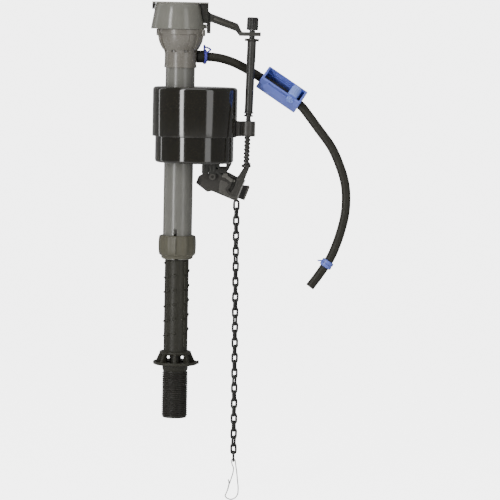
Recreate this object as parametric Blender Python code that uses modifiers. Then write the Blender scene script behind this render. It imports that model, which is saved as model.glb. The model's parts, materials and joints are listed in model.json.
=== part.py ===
"""Toilet fill valve with a lock arm under its float.

Metres, +Z up along the valve tube. The origin is on the tube axis at the underside of the flange that
seats in the tank; the threaded shank hangs below it. +X points to the float rod, -Y to the front.
"""
import math

import bmesh
import bpy
from mathutils import Matrix, Vector

MM = 0.001
GAP = 0.3 * MM          # clearance between touching pieces
ROUND_STEPS = 24        # facets round a large turned piece
SMALL_STEPS = 14        # facets round a small turned piece

# ---- driving sizes ----------------------------------------------------------------------------
SHANK_BOTTOM = -49.5 * MM
SHANK_R = 11.9 * MM             # 15/16 in thread, crest radius
SHANK_ROOT_R = 11.0 * MM
SHANK_PITCH = 1.81 * MM         # 14 threads an inch
THREAD_TOP = -6.0 * MM
SHANK_BORE_R = 7.0 * MM
FLANGE_R = 20.8 * MM
FLANGE_H = 3.0 * MM
RIB_COUNT = 8
COLLAR_R = 14.8 * MM            # ring that the ribs carry
COLLAR_Z = 11.2 * MM
COLLAR_TOP = 12.7 * MM

LOWER_R = 11.2 * MM             # ridged lower tube
LOWER_BORE_R = 9.9 * MM
LOWER_TOP = 150.0 * MM
RIDGE_R = 12.1 * MM
RIDGE_PITCH = 13.6 * MM
RIDGE_FIRST = 26.5 * MM         # height of the lowest ridge on the left side
RIDGE_TURNS = 6
RAIL_Z = (17.0 * MM, 98.0 * MM)

RISER_R = 5.4 * MM              # inlet pipe inside the lower tube
RISER_BORE_R = 3.8 * MM
RISER_TOP = 158.0 * MM

TUBE_R = 13.5 * MM              # upper tube
TUBE_BORE_R = 12.4 * MM
TUBE_BOTTOM = 98.6 * MM
TUBE_TOP = 287.0 * MM
CATCH_Z = 168.8 * MM            # shoulder that the lock arm's nose lands on
HEAD_BOTTOM = 275.5 * MM
HEAD_FLARE = 290.5 * MM
HEAD_TOP = 311.4 * MM
HEAD_R = 22.0 * MM
NIPPLE_Z = 286.0 * MM
NIPPLE_TURN = math.radians(12.0)   # the hose leaves a little towards the back

RING_BOTTOM = 100.4 * MM
RING_TOP = 120.0 * MM
RING_R = 17.3 * MM

CAP_X = -3.0 * MM
CAP_R = 24.7 * MM
CAP_TOP_R = 20.6 * MM
CAP_BOTTOM = 311.7 * MM
CAP_TOP = 334.8 * MM

LEVER_PIVOT = Vector((22.9, 0.0, 326.0)) * MM
FORK_X = (55.9 * MM, 73.5 * MM)
FORK_Z = (305.6 * MM, 309.3 * MM)
FORK_SLOT_W = 6.4 * MM
FORK_SLOT_X = 57.6 * MM

ROD_X = 64.2 * MM
ROD_MID = Vector((ROD_X, 0.0, 251.0 * MM))
ROD_LEAN = math.radians(1.46)   # the rod leans outwards at its foot
ROD_THREAD_PITCH = 3.56 * MM
ROD_THREAD_R = 2.95 * MM
ROD_ROOT_R = 2.15 * MM
ROD_BOTTOM = 184.5 * MM

FLOAT_X = 14.2 * MM
FLOAT_R = 39.1 * MM
FLOAT_BASE_R = 36.3 * MM
FLOAT_STEP = 212.4 * MM
FLOAT_TOP = 258.0 * MM
FLOAT_BOTTOM = 188.2 * MM
FLOAT_WALL = 1.8 * MM
SLEEVE_R = 16.6 * MM
SLEEVE_BORE_R = 14.2 * MM

ARM_PIVOT = Vector((31.4, 0.0, 175.3)) * MM
ARM_Y = (5.4 * MM, 8.0 * MM)    # the arm hangs behind the rod
ARM_MID_Y = (ARM_Y[0] + ARM_Y[1]) / 2

CHAIN_TOP = Vector((55.0, 6.7, 152.8)) * MM
CHAIN_BOTTOM = Vector((55.0, 6.7, -88.2)) * MM
CHAIN_R = 2.9 * MM
HOOK_WIRE_R = 0.5 * MM

HOSE_R = 3.95 * MM
# The hose's route after its straight start, listed by hand: it passes behind the rod and hangs in an arc.
HOSE_ROUTE = [Vector(p) * MM for p in (
    (31.0, 6.4, 285.6), (40.0, 8.6, 284.0), (49.7, 10.8, 280.8), (59.3, 12.6, 276.2), (68.4, 13.4, 271.2),
    (76.0, 13.6, 266.6), (85.0, 13.3, 261.0), (94.0, 13.0, 255.2), (103.0, 12.4, 249.0), (109.6, 12.0, 244.2),
    (115.0, 11.2, 239.2),
    (128.8, 9.0, 221.3), (141.6, 7.0, 204.1), (150.1, 5.4, 185.5), (154.5, 4.4, 170.7),
    (155.8, 3.6, 155.8), (154.7, 3.0, 140.8), (151.2, 2.4, 125.8), (147.1, 2.0, 113.2), (142.4, 1.6, 102.0),
    (136.6, 1.2, 92.8), (130.3, 0.8, 83.6), (123.8, 0.4, 74.8))]
CLAMP_CENTRE = Vector((93.4, 13.0, 255.8)) * MM
CLAMP_AXIS = Vector((0.8365, -0.041, -0.5475)).normalized()
CLAMP_LENGTH = 43.0 * MM
CLAMP_WIDTH = 16.0 * MM
ROLLER_AT = 11.5 * MM           # the roller's place along the channel
ROLLER_UP = 9.45 * MM           # and above the hose's middle

# ---- materials: colour (linear), roughness, metallic --------------------------------------------
LOOKS = {
    "black": ((0.012, 0.011, 0.010), 0.35, 0.0),
    "float_black": ((0.006, 0.006, 0.005), 0.12, 0.0),
    "dark_grey": ((0.055, 0.054, 0.048), 0.42, 0.0),
    "tube_grey": ((0.17, 0.18, 0.165), 0.38, 0.0),
    "head_grey": ((0.19, 0.18, 0.165), 0.38, 0.0),
    "cap_grey": ((0.24, 0.24, 0.22), 0.35, 0.0),
    "ring_grey": ((0.13, 0.125, 0.095), 0.40, 0.0),
    "rubber": ((0.045, 0.042, 0.030), 0.55, 0.0),
    "seal_rubber": ((0.10, 0.10, 0.10), 0.6, 0.0),
    "blue": ((0.10, 0.18, 0.62), 0.33, 0.0),
    "steel": ((0.62, 0.63, 0.64), 0.22, 1.0),
    "natural": ((0.55, 0.55, 0.50), 0.40, 0.0),
}

PARTS = None
CUTTERS = None
BODIES = {}


# ---- scene helpers ------------------------------------------------------------------------------
def start_scene():
    """Clear the scene and make the collections."""
    global PARTS, CUTTERS
    for old in list(bpy.data.objects):
        bpy.data.objects.remove(old, do_unlink=True)
    PARTS = bpy.data.collections.new("toilet_fill_valve")
    CUTTERS = bpy.data.collections.new("cutters")
    for group in (PARTS, CUTTERS):
        bpy.context.scene.collection.children.link(group)


def place(obj, group):
    """Keep an object in one collection only."""
    for other in list(obj.users_collection):
        other.objects.unlink(obj)
    group.objects.link(obj)
    return obj


def body(name, origin, parent=None):
    """An empty on a joint's axis, which the body's pieces hang from."""
    empty = bpy.data.objects.new("body_" + name, None)
    empty.empty_display_size = 0.01
    PARTS.objects.link(empty)
    empty.location = Vector(origin)
    if parent:
        empty.parent = BODIES[parent]
        empty.location = Vector(origin) - BODIES[parent].matrix_world.translation
    bpy.context.view_layer.update()
    BODIES[name] = empty


def finish(obj, name, look, owner):
    """Name a piece, give it its own material, shade it and hang it from its body."""
    obj.name = name
    obj.data.name = name
    colour, roughness, metallic = LOOKS[look]
    material = bpy.data.materials.new(name + "_material")
    material.use_nodes = True
    shader = material.node_tree.nodes["Principled BSDF"]
    shader.inputs["Base Color"].default_value = (*colour, 1.0)
    shader.inputs["Roughness"].default_value = roughness
    shader.inputs["Metallic"].default_value = metallic
    obj.data.materials.clear()
    obj.data.materials.append(material)
    place(obj, PARTS)
    if obj.type == "MESH":
        obj.data.shade_smooth()
        obj.data.set_sharp_from_angle(angle=math.radians(35))
    parent = BODIES[owner]
    world = obj.matrix_world.copy()
    obj.parent = parent
    obj.matrix_parent_inverse = parent.matrix_world.inverted()
    obj.matrix_world = world
    return obj


def baked(obj):
    """The object as a plain mesh with its modifiers applied and its place kept."""
    bpy.context.view_layer.update()
    graph = bpy.context.evaluated_depsgraph_get()
    mesh = bpy.data.meshes.new_from_object(obj.evaluated_get(graph))
    mesh.transform(obj.matrix_world)
    work = bmesh.new()
    work.from_mesh(mesh)
    bmesh.ops.remove_doubles(work, verts=work.verts, dist=0.00001)
    bmesh.ops.recalc_face_normals(work, faces=work.faces)
    work.to_mesh(mesh)
    work.free()
    out = bpy.data.objects.new(obj.name + "_mesh", mesh)
    CUTTERS.objects.link(out)
    bpy.data.objects.remove(obj, do_unlink=True)
    return out


def combine(base, tools, operation):
    """Apply exact Booleans of base with each tool, and remove the tools."""
    base = baked(base)
    for tool in tools:
        tool = baked(tool)
        change = base.modifiers.new("cut", "BOOLEAN")
        change.operation = operation
        change.solver = "EXACT"
        change.object = tool
        base = baked(base)
        bpy.data.objects.remove(tool, do_unlink=True)
    return base


def join(base, *tools):
    return combine(base, tools, "UNION")


def cut(base, *tools):
    return combine(base, tools, "DIFFERENCE")


def turned(profile, closed=False, steps=ROUND_STEPS, at=(0, 0, 0)):
    """A turned solid from (radius, height) points that run down the outer side."""
    mesh = bpy.data.meshes.new("turned")
    points = [(r, 0.0, z) for r, z in profile]
    edges = [(i, i + 1) for i in range(len(points) - 1)]
    if closed:
        edges.append((len(points) - 1, 0))
    mesh.from_pydata(points, edges, [])
    obj = bpy.data.objects.new("turned", mesh)
    CUTTERS.objects.link(obj)
    obj.location = at
    screw = obj.modifiers.new("screw", "SCREW")
    screw.steps = steps
    screw.render_steps = steps
    screw.use_merge_vertices = True
    screw.merge_threshold = 0.00001
    return obj


def pipe(outer, inner, bottom, top, steps=ROUND_STEPS, at=(0, 0, 0)):
    """A straight tube along Z."""
    ring = [(outer, top), (outer, bottom), (inner, bottom), (inner, top)]
    return turned(ring, True, steps, at)


def box(low, high, bevel=0.0):
    """A box between two corners, its upright and level edges bevelled if asked."""
    low, high = Vector(low), Vector(high)
    bpy.ops.mesh.primitive_cube_add(size=1.0, location=(low + high) / 2)
    obj = bpy.context.object
    obj.data.transform(Matrix.Diagonal((*(high - low), 1.0)))
    place(obj, CUTTERS)
    if bevel:
        edge = obj.modifiers.new("bevel", "BEVEL")
        edge.width = bevel
        edge.segments = 2
    return obj


def rod(start, end, radius, steps=SMALL_STEPS, end_radius=None):
    """A round bar or cone between two points."""
    start, end = Vector(start), Vector(end)
    length = (end - start).length
    if end_radius is None:
        end_radius = radius
    bpy.ops.mesh.primitive_cone_add(vertices=steps, radius1=radius, radius2=end_radius, depth=length)
    obj = place(bpy.context.object, CUTTERS)
    turn = (end - start).to_track_quat("Z", "Y").to_matrix().to_4x4()
    obj.matrix_world = Matrix.Translation((start + end) / 2) @ turn
    return obj


def plate(outline, y_low, y_high, holes=()):
    """A flat plate in the XZ plane from (x, z) outlines in millimetres, between two Y values."""
    curve = bpy.data.curves.new("plate", "CURVE")
    curve.dimensions = "2D"
    curve.fill_mode = "BOTH"
    curve.extrude = (y_high - y_low) / 2
    for ring in (outline, *holes):
        spline = curve.splines.new("POLY")
        spline.points.add(len(ring) - 1)
        spline.use_cyclic_u = True
        for point, (x, z) in zip(spline.points, ring):
            point.co = (x * MM, z * MM, 0.0, 1.0)
    obj = bpy.data.objects.new("plate", curve)
    CUTTERS.objects.link(obj)
    turn = Matrix.Rotation(math.radians(90), 4, "X")
    obj.matrix_world = Matrix.Translation((0.0, (y_low + y_high) / 2, 0.0)) @ turn
    return baked(obj)


def wire(points, radius, resolution=2, cyclic=False):
    """A round wire through points."""
    curve = bpy.data.curves.new("wire", "CURVE")
    curve.dimensions = "3D"
    curve.bevel_depth = radius
    curve.bevel_resolution = resolution
    curve.use_fill_caps = not cyclic
    spline = curve.splines.new("POLY")
    spline.points.add(len(points) - 1)
    spline.use_cyclic_u = cyclic
    for point, place_at in zip(spline.points, points):
        point.co = (*place_at, 1.0)
    obj = bpy.data.objects.new("wire", curve)
    CUTTERS.objects.link(obj)
    return obj


def arc(centre, radius, start, end, count):
    """(x, z) points in millimetres on an arc, angles in degrees."""
    step = (end - start) / (count - 1)
    turns = [math.radians(start + step * i) for i in range(count)]
    return [(centre[0] + radius * math.cos(t), centre[1] + radius * math.sin(t)) for t in turns]


def smooth_path(points, count):
    """Evenly spaced points on a smooth curve through the given points."""
    dense = []
    ends = [points[0] * 2 - points[1], *points, points[-1] * 2 - points[-2]]
    for i in range(1, len(ends) - 2):
        a, b, c, d = ends[i - 1:i + 3]
        for k in range(12):
            t = k / 12
            dense.append(0.5 * ((2 * b) + (c - a) * t + (2 * a - 5 * b + 4 * c - d) * t * t
                                + (3 * b - a - 3 * c + d) * t ** 3))
    dense.append(points[-1])
    lengths = [0.0]
    for a, b in zip(dense, dense[1:]):
        lengths.append(lengths[-1] + (b - a).length)
    result, j = [], 0
    for i in range(count):
        want = lengths[-1] * i / (count - 1)
        while j < len(dense) - 2 and lengths[j + 1] < want:
            j += 1
        share = (want - lengths[j]) / (lengths[j + 1] - lengths[j])
        result.append(dense[j].lerp(dense[j + 1], min(1.0, share)))
    return result


def threaded(crest, root, pitch, bottom, top, around, rows):
    """A closed bar with a right-hand thread: each ring is at one height, its radius follows the helix."""
    work = bmesh.new()
    levels = int(round((top - bottom) / pitch * rows))
    rings = []
    for i in range(levels + 1):
        z = bottom + (top - bottom) * i / levels
        fade = min(1.0, (z - bottom) / pitch, (top - z) / pitch)
        ring = []
        for k in range(around):
            turn = 2 * math.pi * k / around
            phase = (z / pitch - k / around) % 1.0
            height = abs(2 * phase - 1)
            radius = root + (crest - root) * height * fade
            ring.append(work.verts.new((radius * math.cos(turn), radius * math.sin(turn), z)))
        rings.append(ring)
    for low, high in zip(rings, rings[1:]):
        for k in range(around):
            n = (k + 1) % around
            work.faces.new((low[k], low[n], high[n], high[k]))
    work.faces.new(list(reversed(rings[0])))
    work.faces.new(rings[-1])
    mesh = bpy.data.meshes.new("thread")
    work.to_mesh(mesh)
    work.free()
    obj = bpy.data.objects.new("thread", mesh)
    CUTTERS.objects.link(obj)
    return obj


def spun(obj, angle):
    """Turn an object about the world Z axis."""
    bpy.context.view_layer.update()
    obj.matrix_world = Matrix.Rotation(angle, 4, "Z") @ obj.matrix_world
    return obj


# ---- shank and lower tube -----------------------------------------------------------------------
def threaded_shank():
    """Threaded shank, flange, ribs and ridged lower tube, one moulding."""
    screw = threaded(SHANK_R, SHANK_ROOT_R, SHANK_PITCH, SHANK_BOTTOM, THREAD_TOP, 18, 3)
    neck = turned([(0, FLANGE_H), (19.6 * MM, FLANGE_H), (FLANGE_R, 2.2 * MM), (FLANGE_R, 0.9 * MM),
                   (19.6 * MM, 0), (12.4 * MM, 0), (11.4 * MM, THREAD_TOP - GAP), (0, THREAD_TOP - GAP)])
    tube = turned([(0, LOWER_TOP), (LOWER_R, LOWER_TOP), (LOWER_R, COLLAR_TOP), (COLLAR_R - MM, COLLAR_TOP),
                   (COLLAR_R, COLLAR_TOP - 0.6 * MM), (COLLAR_R, COLLAR_Z), (13.4 * MM, 8.2 * MM),
                   (0, 8.2 * MM)])
    ribs = []
    for i in range(RIB_COUNT):
        rib = plate([(12.0, 2.0), (18.4, 2.0), (17.4, 4.4), (14.2, 12.2), (12.0, 12.2)], -0.9 * MM, 0.9 * MM)
        ribs.append(spun(rib, 2 * math.pi * i / RIB_COUNT))
    shank = join(tube, *ribs, neck, screw)
    nub = box((FLANGE_R - 0.8 * MM, -0.9 * MM, 0.6 * MM), (FLANGE_R + 1.4 * MM, 0.9 * MM, 3.9 * MM))
    shank = join(shank, nub, *ridges())
    trim = pipe(RIDGE_R + 4 * MM, RIDGE_R, COLLAR_TOP + 1 * MM, LOWER_TOP + MM)
    bore = turned([(0, LOWER_TOP + MM), (LOWER_BORE_R, LOWER_TOP + MM), (LOWER_BORE_R, 0.9 * MM),
                   (SHANK_BORE_R, 0.9 * MM), (SHANK_BORE_R, SHANK_BOTTOM - MM), (0, SHANK_BOTTOM - MM)])
    finish(cut(shank, trim, bore), "threaded_shank", "dark_grey", "shank")


def ridges():
    """The broken helical ridge at left, front and right of the tube, and the notched rail."""
    blocks = []
    for i in range(RIDGE_TURNS):
        for angle, length in ((math.pi, 9.0), (1.5 * math.pi, 4.0), (0.0, 7.0)):
            z = RIDGE_FIRST + RIDGE_PITCH * (i + (angle - math.pi) / (2 * math.pi))
            half = length / 2 * MM
            block = box((LOWER_R - MM, -half, -0.9 * MM), (RIDGE_R + 0.8 * MM, half, 0.9 * MM))
            slope = math.atan(RIDGE_PITCH / (2 * math.pi * LOWER_R))
            bpy.context.view_layer.update()
            block.matrix_world = (Matrix.Rotation(angle, 4, "Z") @ Matrix.Translation((0, 0, z))
                                  @ Matrix.Rotation(slope, 4, "X") @ block.matrix_world)
            blocks.append(block)
    for i in range(RIDGE_TURNS):
        low = RAIL_Z[0] + RIDGE_PITCH * i
        block = box((LOWER_R - MM, -1.6 * MM, low), (RIDGE_R + 0.8 * MM, 1.6 * MM, low + 12.2 * MM))
        blocks.append(spun(block, math.radians(-42)))
    return blocks


def riser_pipe():
    """The inlet pipe that carries water up from the shank."""
    outer = [(RISER_R, RISER_TOP), (RISER_R, 154.4 * MM), (4.7 * MM, 154.4 * MM), (4.7 * MM, 151.6 * MM),
             (RISER_R, 151.6 * MM), (RISER_R, 0.4 * MM), (SHANK_BORE_R - GAP, 0.4 * MM),
             (SHANK_BORE_R - GAP, -20 * MM), (5.4 * MM, -20 * MM), (RISER_BORE_R, -14 * MM),
             (RISER_BORE_R, RISER_TOP)]
    finish(turned(outer, True, 18), "riser_pipe", "natural", "shank")
    ring = [(6.0 * MM, 153.9 * MM), (6.0 * MM, 152.1 * MM), (5.0 * MM, 152.1 * MM), (5.0 * MM, 153.9 * MM)]
    finish(turned(ring, True, 18), "riser_seal", "seal_rubber", "shank")


# ---- upper tube, head and cap -------------------------------------------------------------------
def lock_ring():
    """Scalloped ring that locks the height, with the lip under it."""
    barrel = turned([(16.2 * MM, RING_TOP), (17.1 * MM, 116.5 * MM), (RING_R, 113.0 * MM),
                     (17.1 * MM, 108.5 * MM),
                     (16.2 * MM, 103.2 * MM), (14.9 * MM, 103.0 * MM), (14.7 * MM, RING_BOTTOM),
                     (TUBE_R + GAP, RING_BOTTOM), (TUBE_R + GAP, RING_TOP)], True)
    finish(barrel, "lock_ring", "ring_grey", "lock_ring")


def upper_tube():
    """The outer tube that telescopes on the ridged tube."""
    tube = pipe(TUBE_R, TUBE_BORE_R, TUBE_BOTTOM, TUBE_TOP)
    slot = box((-3.5 * MM, -20 * MM, 121.0 * MM), (-0.4 * MM, -10 * MM, 126.7 * MM))
    notch = box((-1.6 * MM, -20 * MM, TUBE_BOTTOM - MM), (1.6 * MM, -10 * MM, TUBE_BOTTOM + 1.2 * MM))
    catch = box((TUBE_R - 0.5 * MM, -2.6 * MM, CATCH_Z), (TUBE_R + MM, 2.6 * MM, 262 * MM))
    port = spun(rod((8 * MM, 0, NIPPLE_Z), (24 * MM, 0, NIPPLE_Z), 1.7 * MM), NIPPLE_TURN)
    finish(cut(tube, slot, notch, catch, port), "upper_tube", "tube_grey", "valve_body")


def valve_head():
    """The flared cup on top of the tube, with its outlet slots, lugs and refill nipple."""
    cup = turned([(HEAD_R, HEAD_TOP), (21.6 * MM, 304.5 * MM), (20.0 * MM, 299.8 * MM),
                  (15.3 * MM, HEAD_FLARE), (14.6 * MM, 284.0 * MM), (14.9 * MM, HEAD_BOTTOM),
                  (TUBE_R + GAP, HEAD_BOTTOM), (TUBE_R + GAP, TUBE_TOP + GAP),
                  (TUBE_BORE_R, TUBE_TOP + GAP), (TUBE_BORE_R, 291.0 * MM), (18.2 * MM, 300.6 * MM),
                  (20.2 * MM, 305.4 * MM), (20.4 * MM, HEAD_TOP)], True)
    slots = []
    for i in range(8):
        slot = box((12.8 * MM, -2.4 * MM, 289.6 * MM), (17.0 * MM, 2.4 * MM, 291.6 * MM))
        slots.append(spun(slot, math.radians(22.5 + 45 * i)))
    lugs = []
    for angle in (-22, -158, 90):
        lug = box((20.9 * MM, -2.6 * MM, 304.5 * MM), (23.4 * MM, 2.6 * MM, 310.8 * MM), 0.6 * MM)
        lugs.append(spun(lug, math.radians(angle)))
    nipple = rod((14.0 * MM, 0, NIPPLE_Z), (23.0 * MM, 0, NIPPLE_Z), 2.9 * MM)
    nipple_bore = rod((8.0 * MM, 0, NIPPLE_Z), (24.0 * MM, 0, NIPPLE_Z), 1.7 * MM)
    for piece in (nipple, nipple_bore):
        spun(piece, NIPPLE_TURN)
    head = join(cup, *lugs, nipple)
    finish(cut(head, *slots, nipple_bore), "valve_head", "head_grey", "valve_body")


def water_works():
    """Inner riser, seat, diaphragm seal and its bleed pin, all under the cap."""
    finish(pipe(7.6 * MM, 6.3 * MM, 102.0 * MM, 300.4 * MM, 18), "water_riser", "natural", "valve_body")
    seat = turned([(4.4 * MM, 306.2 * MM), (5.2 * MM, 304.0 * MM), (17.4 * MM, 304.0 * MM),
                   (17.4 * MM, 301.0 * MM),
                   (7.4 * MM, 300.7 * MM), (3.6 * MM, 300.7 * MM), (3.6 * MM, 306.2 * MM)], True)
    holes = []
    for i in range(6):
        hole = rod((12.4 * MM, 0, 299 * MM), (12.4 * MM, 0, 305 * MM), 2.2 * MM, 10)
        holes.append(spun(hole, math.radians(60 * i)))
    finish(cut(seat, *holes), "valve_seat", "natural", "valve_body")
    seal = turned([(18.4 * MM, 311.0 * MM), (19.6 * MM, 310.2 * MM), (19.6 * MM, 306.8 * MM),
                   (17.6 * MM, 306.8 * MM),
                   (9.0 * MM, 306.6 * MM), (0.9 * MM, 306.6 * MM), (0.9 * MM, 310.0 * MM),
                   (9.0 * MM, 310.0 * MM), (15.0 * MM, 308.6 * MM)], True, 20)
    finish(seal, "diaphragm_seal", "seal_rubber", "valve_body")
    pin = rod((0, 0, 302.5 * MM), (0, 0, 313.0 * MM), 0.6 * MM, 10)
    finish(pin, "bleed_pin", "steel", "valve_body")


def cap():
    """The light conical cap, hollow below, with its stop tab."""
    shell = turned([(0, CAP_TOP), (CAP_TOP_R - 0.6 * MM, CAP_TOP), (CAP_TOP_R, CAP_TOP - 0.8 * MM),
                    (23.9 * MM, 316.0 * MM), (24.0 * MM, 315.2 * MM), (CAP_R, 314.6 * MM),
                    (CAP_R, CAP_BOTTOM), (21.2 * MM, CAP_BOTTOM), (18.6 * MM, 332.6 * MM),
                    (0, 332.6 * MM)],
                   at=(CAP_X, 0, 0))
    tab = box((19.0 * MM, -3.0 * MM, 312.4 * MM), (24.6 * MM, 3.0 * MM, 315.4 * MM))
    bore = turned([(0, 331.5 * MM), (18.4 * MM, 331.5 * MM), (20.0 * MM, 311.0 * MM), (0, 311.0 * MM)],
                  at=(CAP_X, 0, 0))
    finish(cut(join(shell, tab), bore), "cap", "cap_grey", "valve_body")


def lever_yoke():
    """The black strap over the cap: a lug at the left, two cheeks for the lever's pin at the right."""
    top = CAP_TOP + GAP
    strap = box((-26.4 * MM, -11.0 * MM, top), (25.0 * MM, 11.0 * MM, top + 1.7 * MM), 0.5 * MM)
    lug = box((-26.4 * MM, -4.0 * MM, 330.0 * MM), (-24.8 * MM, 4.0 * MM, top + MM))
    cheeks = []
    for side in (-1, 1):
        low, high = sorted((side * 3.1 * MM, side * 5.6 * MM))
        cheeks.append(plate([(18.0, 335.4), (18.2, 334.0), (21.3, 316.8), (24.8, 316.8), (24.8, 335.4)],
                            low, high))
    hole = rod((LEVER_PIVOT.x, -9 * MM, 326 * MM), (LEVER_PIVOT.x, 9 * MM, 326 * MM), 1.3 * MM)
    finish(cut(join(strap, lug, *cheeks), hole), "lever_yoke", "black", "valve_body")
    x = LEVER_PIVOT.x
    pin = rod((x, -6.2 * MM, 326 * MM), (x, 6.2 * MM, 326 * MM), 1.0 * MM, 12)
    finish(pin, "lever_pin", "steel", "valve_body")


# ---- lever and adjusting rod --------------------------------------------------------------------
def cap_lever():
    """Side arm from the cap to the rod, ending in a fork, with a stop peg below its hub."""
    pivot = (LEVER_PIVOT.x / MM, LEVER_PIVOT.z / MM)
    outline = [*arc(pivot, 3.0, 50, 230, 8), (24.9, 321.5), (24.9, 307.9), (26.9, 307.9), (26.9, 318.4),
               (50.7, 310.4), (54.4, 306.0), (56.6, 305.9), (56.6, 309.0), (55.6, 310.4), (52.4, 317.0),
               (27.4, 326.0)]
    arm = plate(outline, -2.7 * MM, 2.7 * MM, [arc(pivot, 1.3, 0, 330, 12)])
    fork = box((FORK_X[0], -6.3 * MM, FORK_Z[0]), (FORK_X[1], 6.3 * MM, FORK_Z[1]), 0.6 * MM)
    slot = box((FORK_SLOT_X, -FORK_SLOT_W / 2, FORK_Z[0] - MM),
               (FORK_X[1] + MM, FORK_SLOT_W / 2, FORK_Z[1] + MM))
    finish(join(arm, cut(fork, slot)), "cap_lever", "black", "lever")


def lean(obj):
    """Set a piece modelled on the Z axis onto the rod's leaning axis."""
    bpy.context.view_layer.update()
    obj.matrix_world = Matrix.Translation(ROD_MID) @ Matrix.Rotation(ROD_LEAN, 4, "Y") \
        @ Matrix.Translation((0, 0, -ROD_MID.z)) @ obj.matrix_world
    return obj


def adjusting_rod():
    """Rod with a grooved knob, a plain shank, two stops and a coarse thread with an end collar."""
    shank = turned([(0, 323.2 * MM), (4.6 * MM, 323.2 * MM), (5.1 * MM, 322.6 * MM), (5.1 * MM, 313.1 * MM),
                    (4.6 * MM, 312.5 * MM), (2.7 * MM, 312.5 * MM), (2.7 * MM, 301.3 * MM),
                    (3.7 * MM, 301.3 * MM), (3.7 * MM, 282.0 * MM), (3.5 * MM, 281.0 * MM),
                    (3.5 * MM, 236.2 * MM), (4.3 * MM, 235.8 * MM), (4.3 * MM, 234.6 * MM),
                    (3.0 * MM, 234.2 * MM), (3.0 * MM, 233.2 * MM), (4.3 * MM, 232.8 * MM),
                    (4.3 * MM, 231.8 * MM), (ROD_ROOT_R, 231.4 * MM), (ROD_ROOT_R, 229.0 * MM),
                    (0, 229.0 * MM)],
                   steps=16)
    screw = threaded(ROD_THREAD_R, ROD_ROOT_R, ROD_THREAD_PITCH, 186.0 * MM, 230.2 * MM, 12, 4)
    collar = turned([(0, 187.6 * MM), (3.4 * MM, 187.6 * MM), (4.4 * MM, 186.6 * MM), (4.4 * MM, 185.2 * MM),
                     (3.6 * MM, ROD_BOTTOM), (0, ROD_BOTTOM)], steps=16)
    groove = box((0.5 * MM, -6 * MM, 317.2 * MM), (2.1 * MM, -4.2 * MM, 322.3 * MM))
    finish(lean(cut(join(shank, screw, collar), groove)), "adjusting_rod", "black", "rod")


def rod_retainer():
    """Winged collar that holds the rod under the fork and lets it turn."""
    collar = pipe(4.2 * MM, 3.0 * MM, 301.6 * MM, 303.5 * MM, 16)
    wings = box((-6.3 * MM, -1.5 * MM, 301.6 * MM), (6.3 * MM, 1.5 * MM, 303.2 * MM))
    hole = rod((0, 0, 298 * MM), (0, 0, 306 * MM), 3.0 * MM, 16)
    finish(lean(cut(join(collar, wings), hole)), "rod_retainer", "black", "rod_carrier")


# ---- float and lock arm -------------------------------------------------------------------------
def float_shells():
    """Upper and lower float shells, nested, round a sleeve that rides on the tube."""
    cup = turned([(0, FLOAT_TOP), (36.4 * MM, FLOAT_TOP), (38.3 * MM, 257.3 * MM), (FLOAT_R, 255.4 * MM),
                  (FLOAT_R, FLOAT_STEP), (FLOAT_R - FLOAT_WALL, FLOAT_STEP),
                  (FLOAT_R - FLOAT_WALL, 255.0 * MM), (36.2 * MM, 256.2 * MM), (0, 256.2 * MM)],
                 steps=40, at=(FLOAT_X, 0, 0))
    base = turned([(0, 190.0 * MM), (34.0 * MM, 190.0 * MM), (34.5 * MM, 191.0 * MM), (34.5 * MM, 246.0 * MM),
                   (FLOAT_BASE_R, 246.0 * MM), (FLOAT_BASE_R, 190.6 * MM), (35.6 * MM, 188.9 * MM),
                   (34.0 * MM, FLOAT_BOTTOM), (0, FLOAT_BOTTOM)], steps=40, at=(FLOAT_X, 0, 0))
    for shell, name in ((cup, "float_cup"), (base, "float_base")):
        hole = rod((0, 0, 180 * MM), (0, 0, 270 * MM), SLEEVE_R + GAP, 24)
        finish(cut(shell, hole), name, "float_black", "float")
    sleeve = pipe(SLEEVE_R, SLEEVE_BORE_R + 0.4 * MM, 188.4 * MM, 257.6 * MM)
    finish(sleeve, "float_sleeve", "float_black", "float")


def rod_clip():
    """Bracket on the float's side whose nut barrel runs on the rod's thread."""
    barrel = lean(rod((0, 0, 213.4 * MM), (0, 0, 227.2 * MM), 6.5 * MM, 16))
    arm = box((48.0 * MM, -4.2 * MM, 213.4 * MM), (60.0 * MM, 4.2 * MM, 227.2 * MM))
    pad = box((46.0 * MM, -9.0 * MM, 213.4 * MM), (55.6 * MM, 9.0 * MM, 227.2 * MM))
    nose = box((61.5 * MM, -4.0 * MM, 213.4 * MM), (70.2 * MM, 4.0 * MM, 227.2 * MM), 0.6 * MM)
    bore = lean(rod((0, 0, 210 * MM), (0, 0, 230 * MM), ROD_THREAD_R + 0.4 * MM, 16))
    clear = rod((FLOAT_X, 0, 210 * MM), (FLOAT_X, 0, 230 * MM), FLOAT_R + GAP, 40)
    finish(cut(join(barrel, arm, pad, nose), bore, clear), "rod_clip", "dark_grey", "float")


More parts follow.
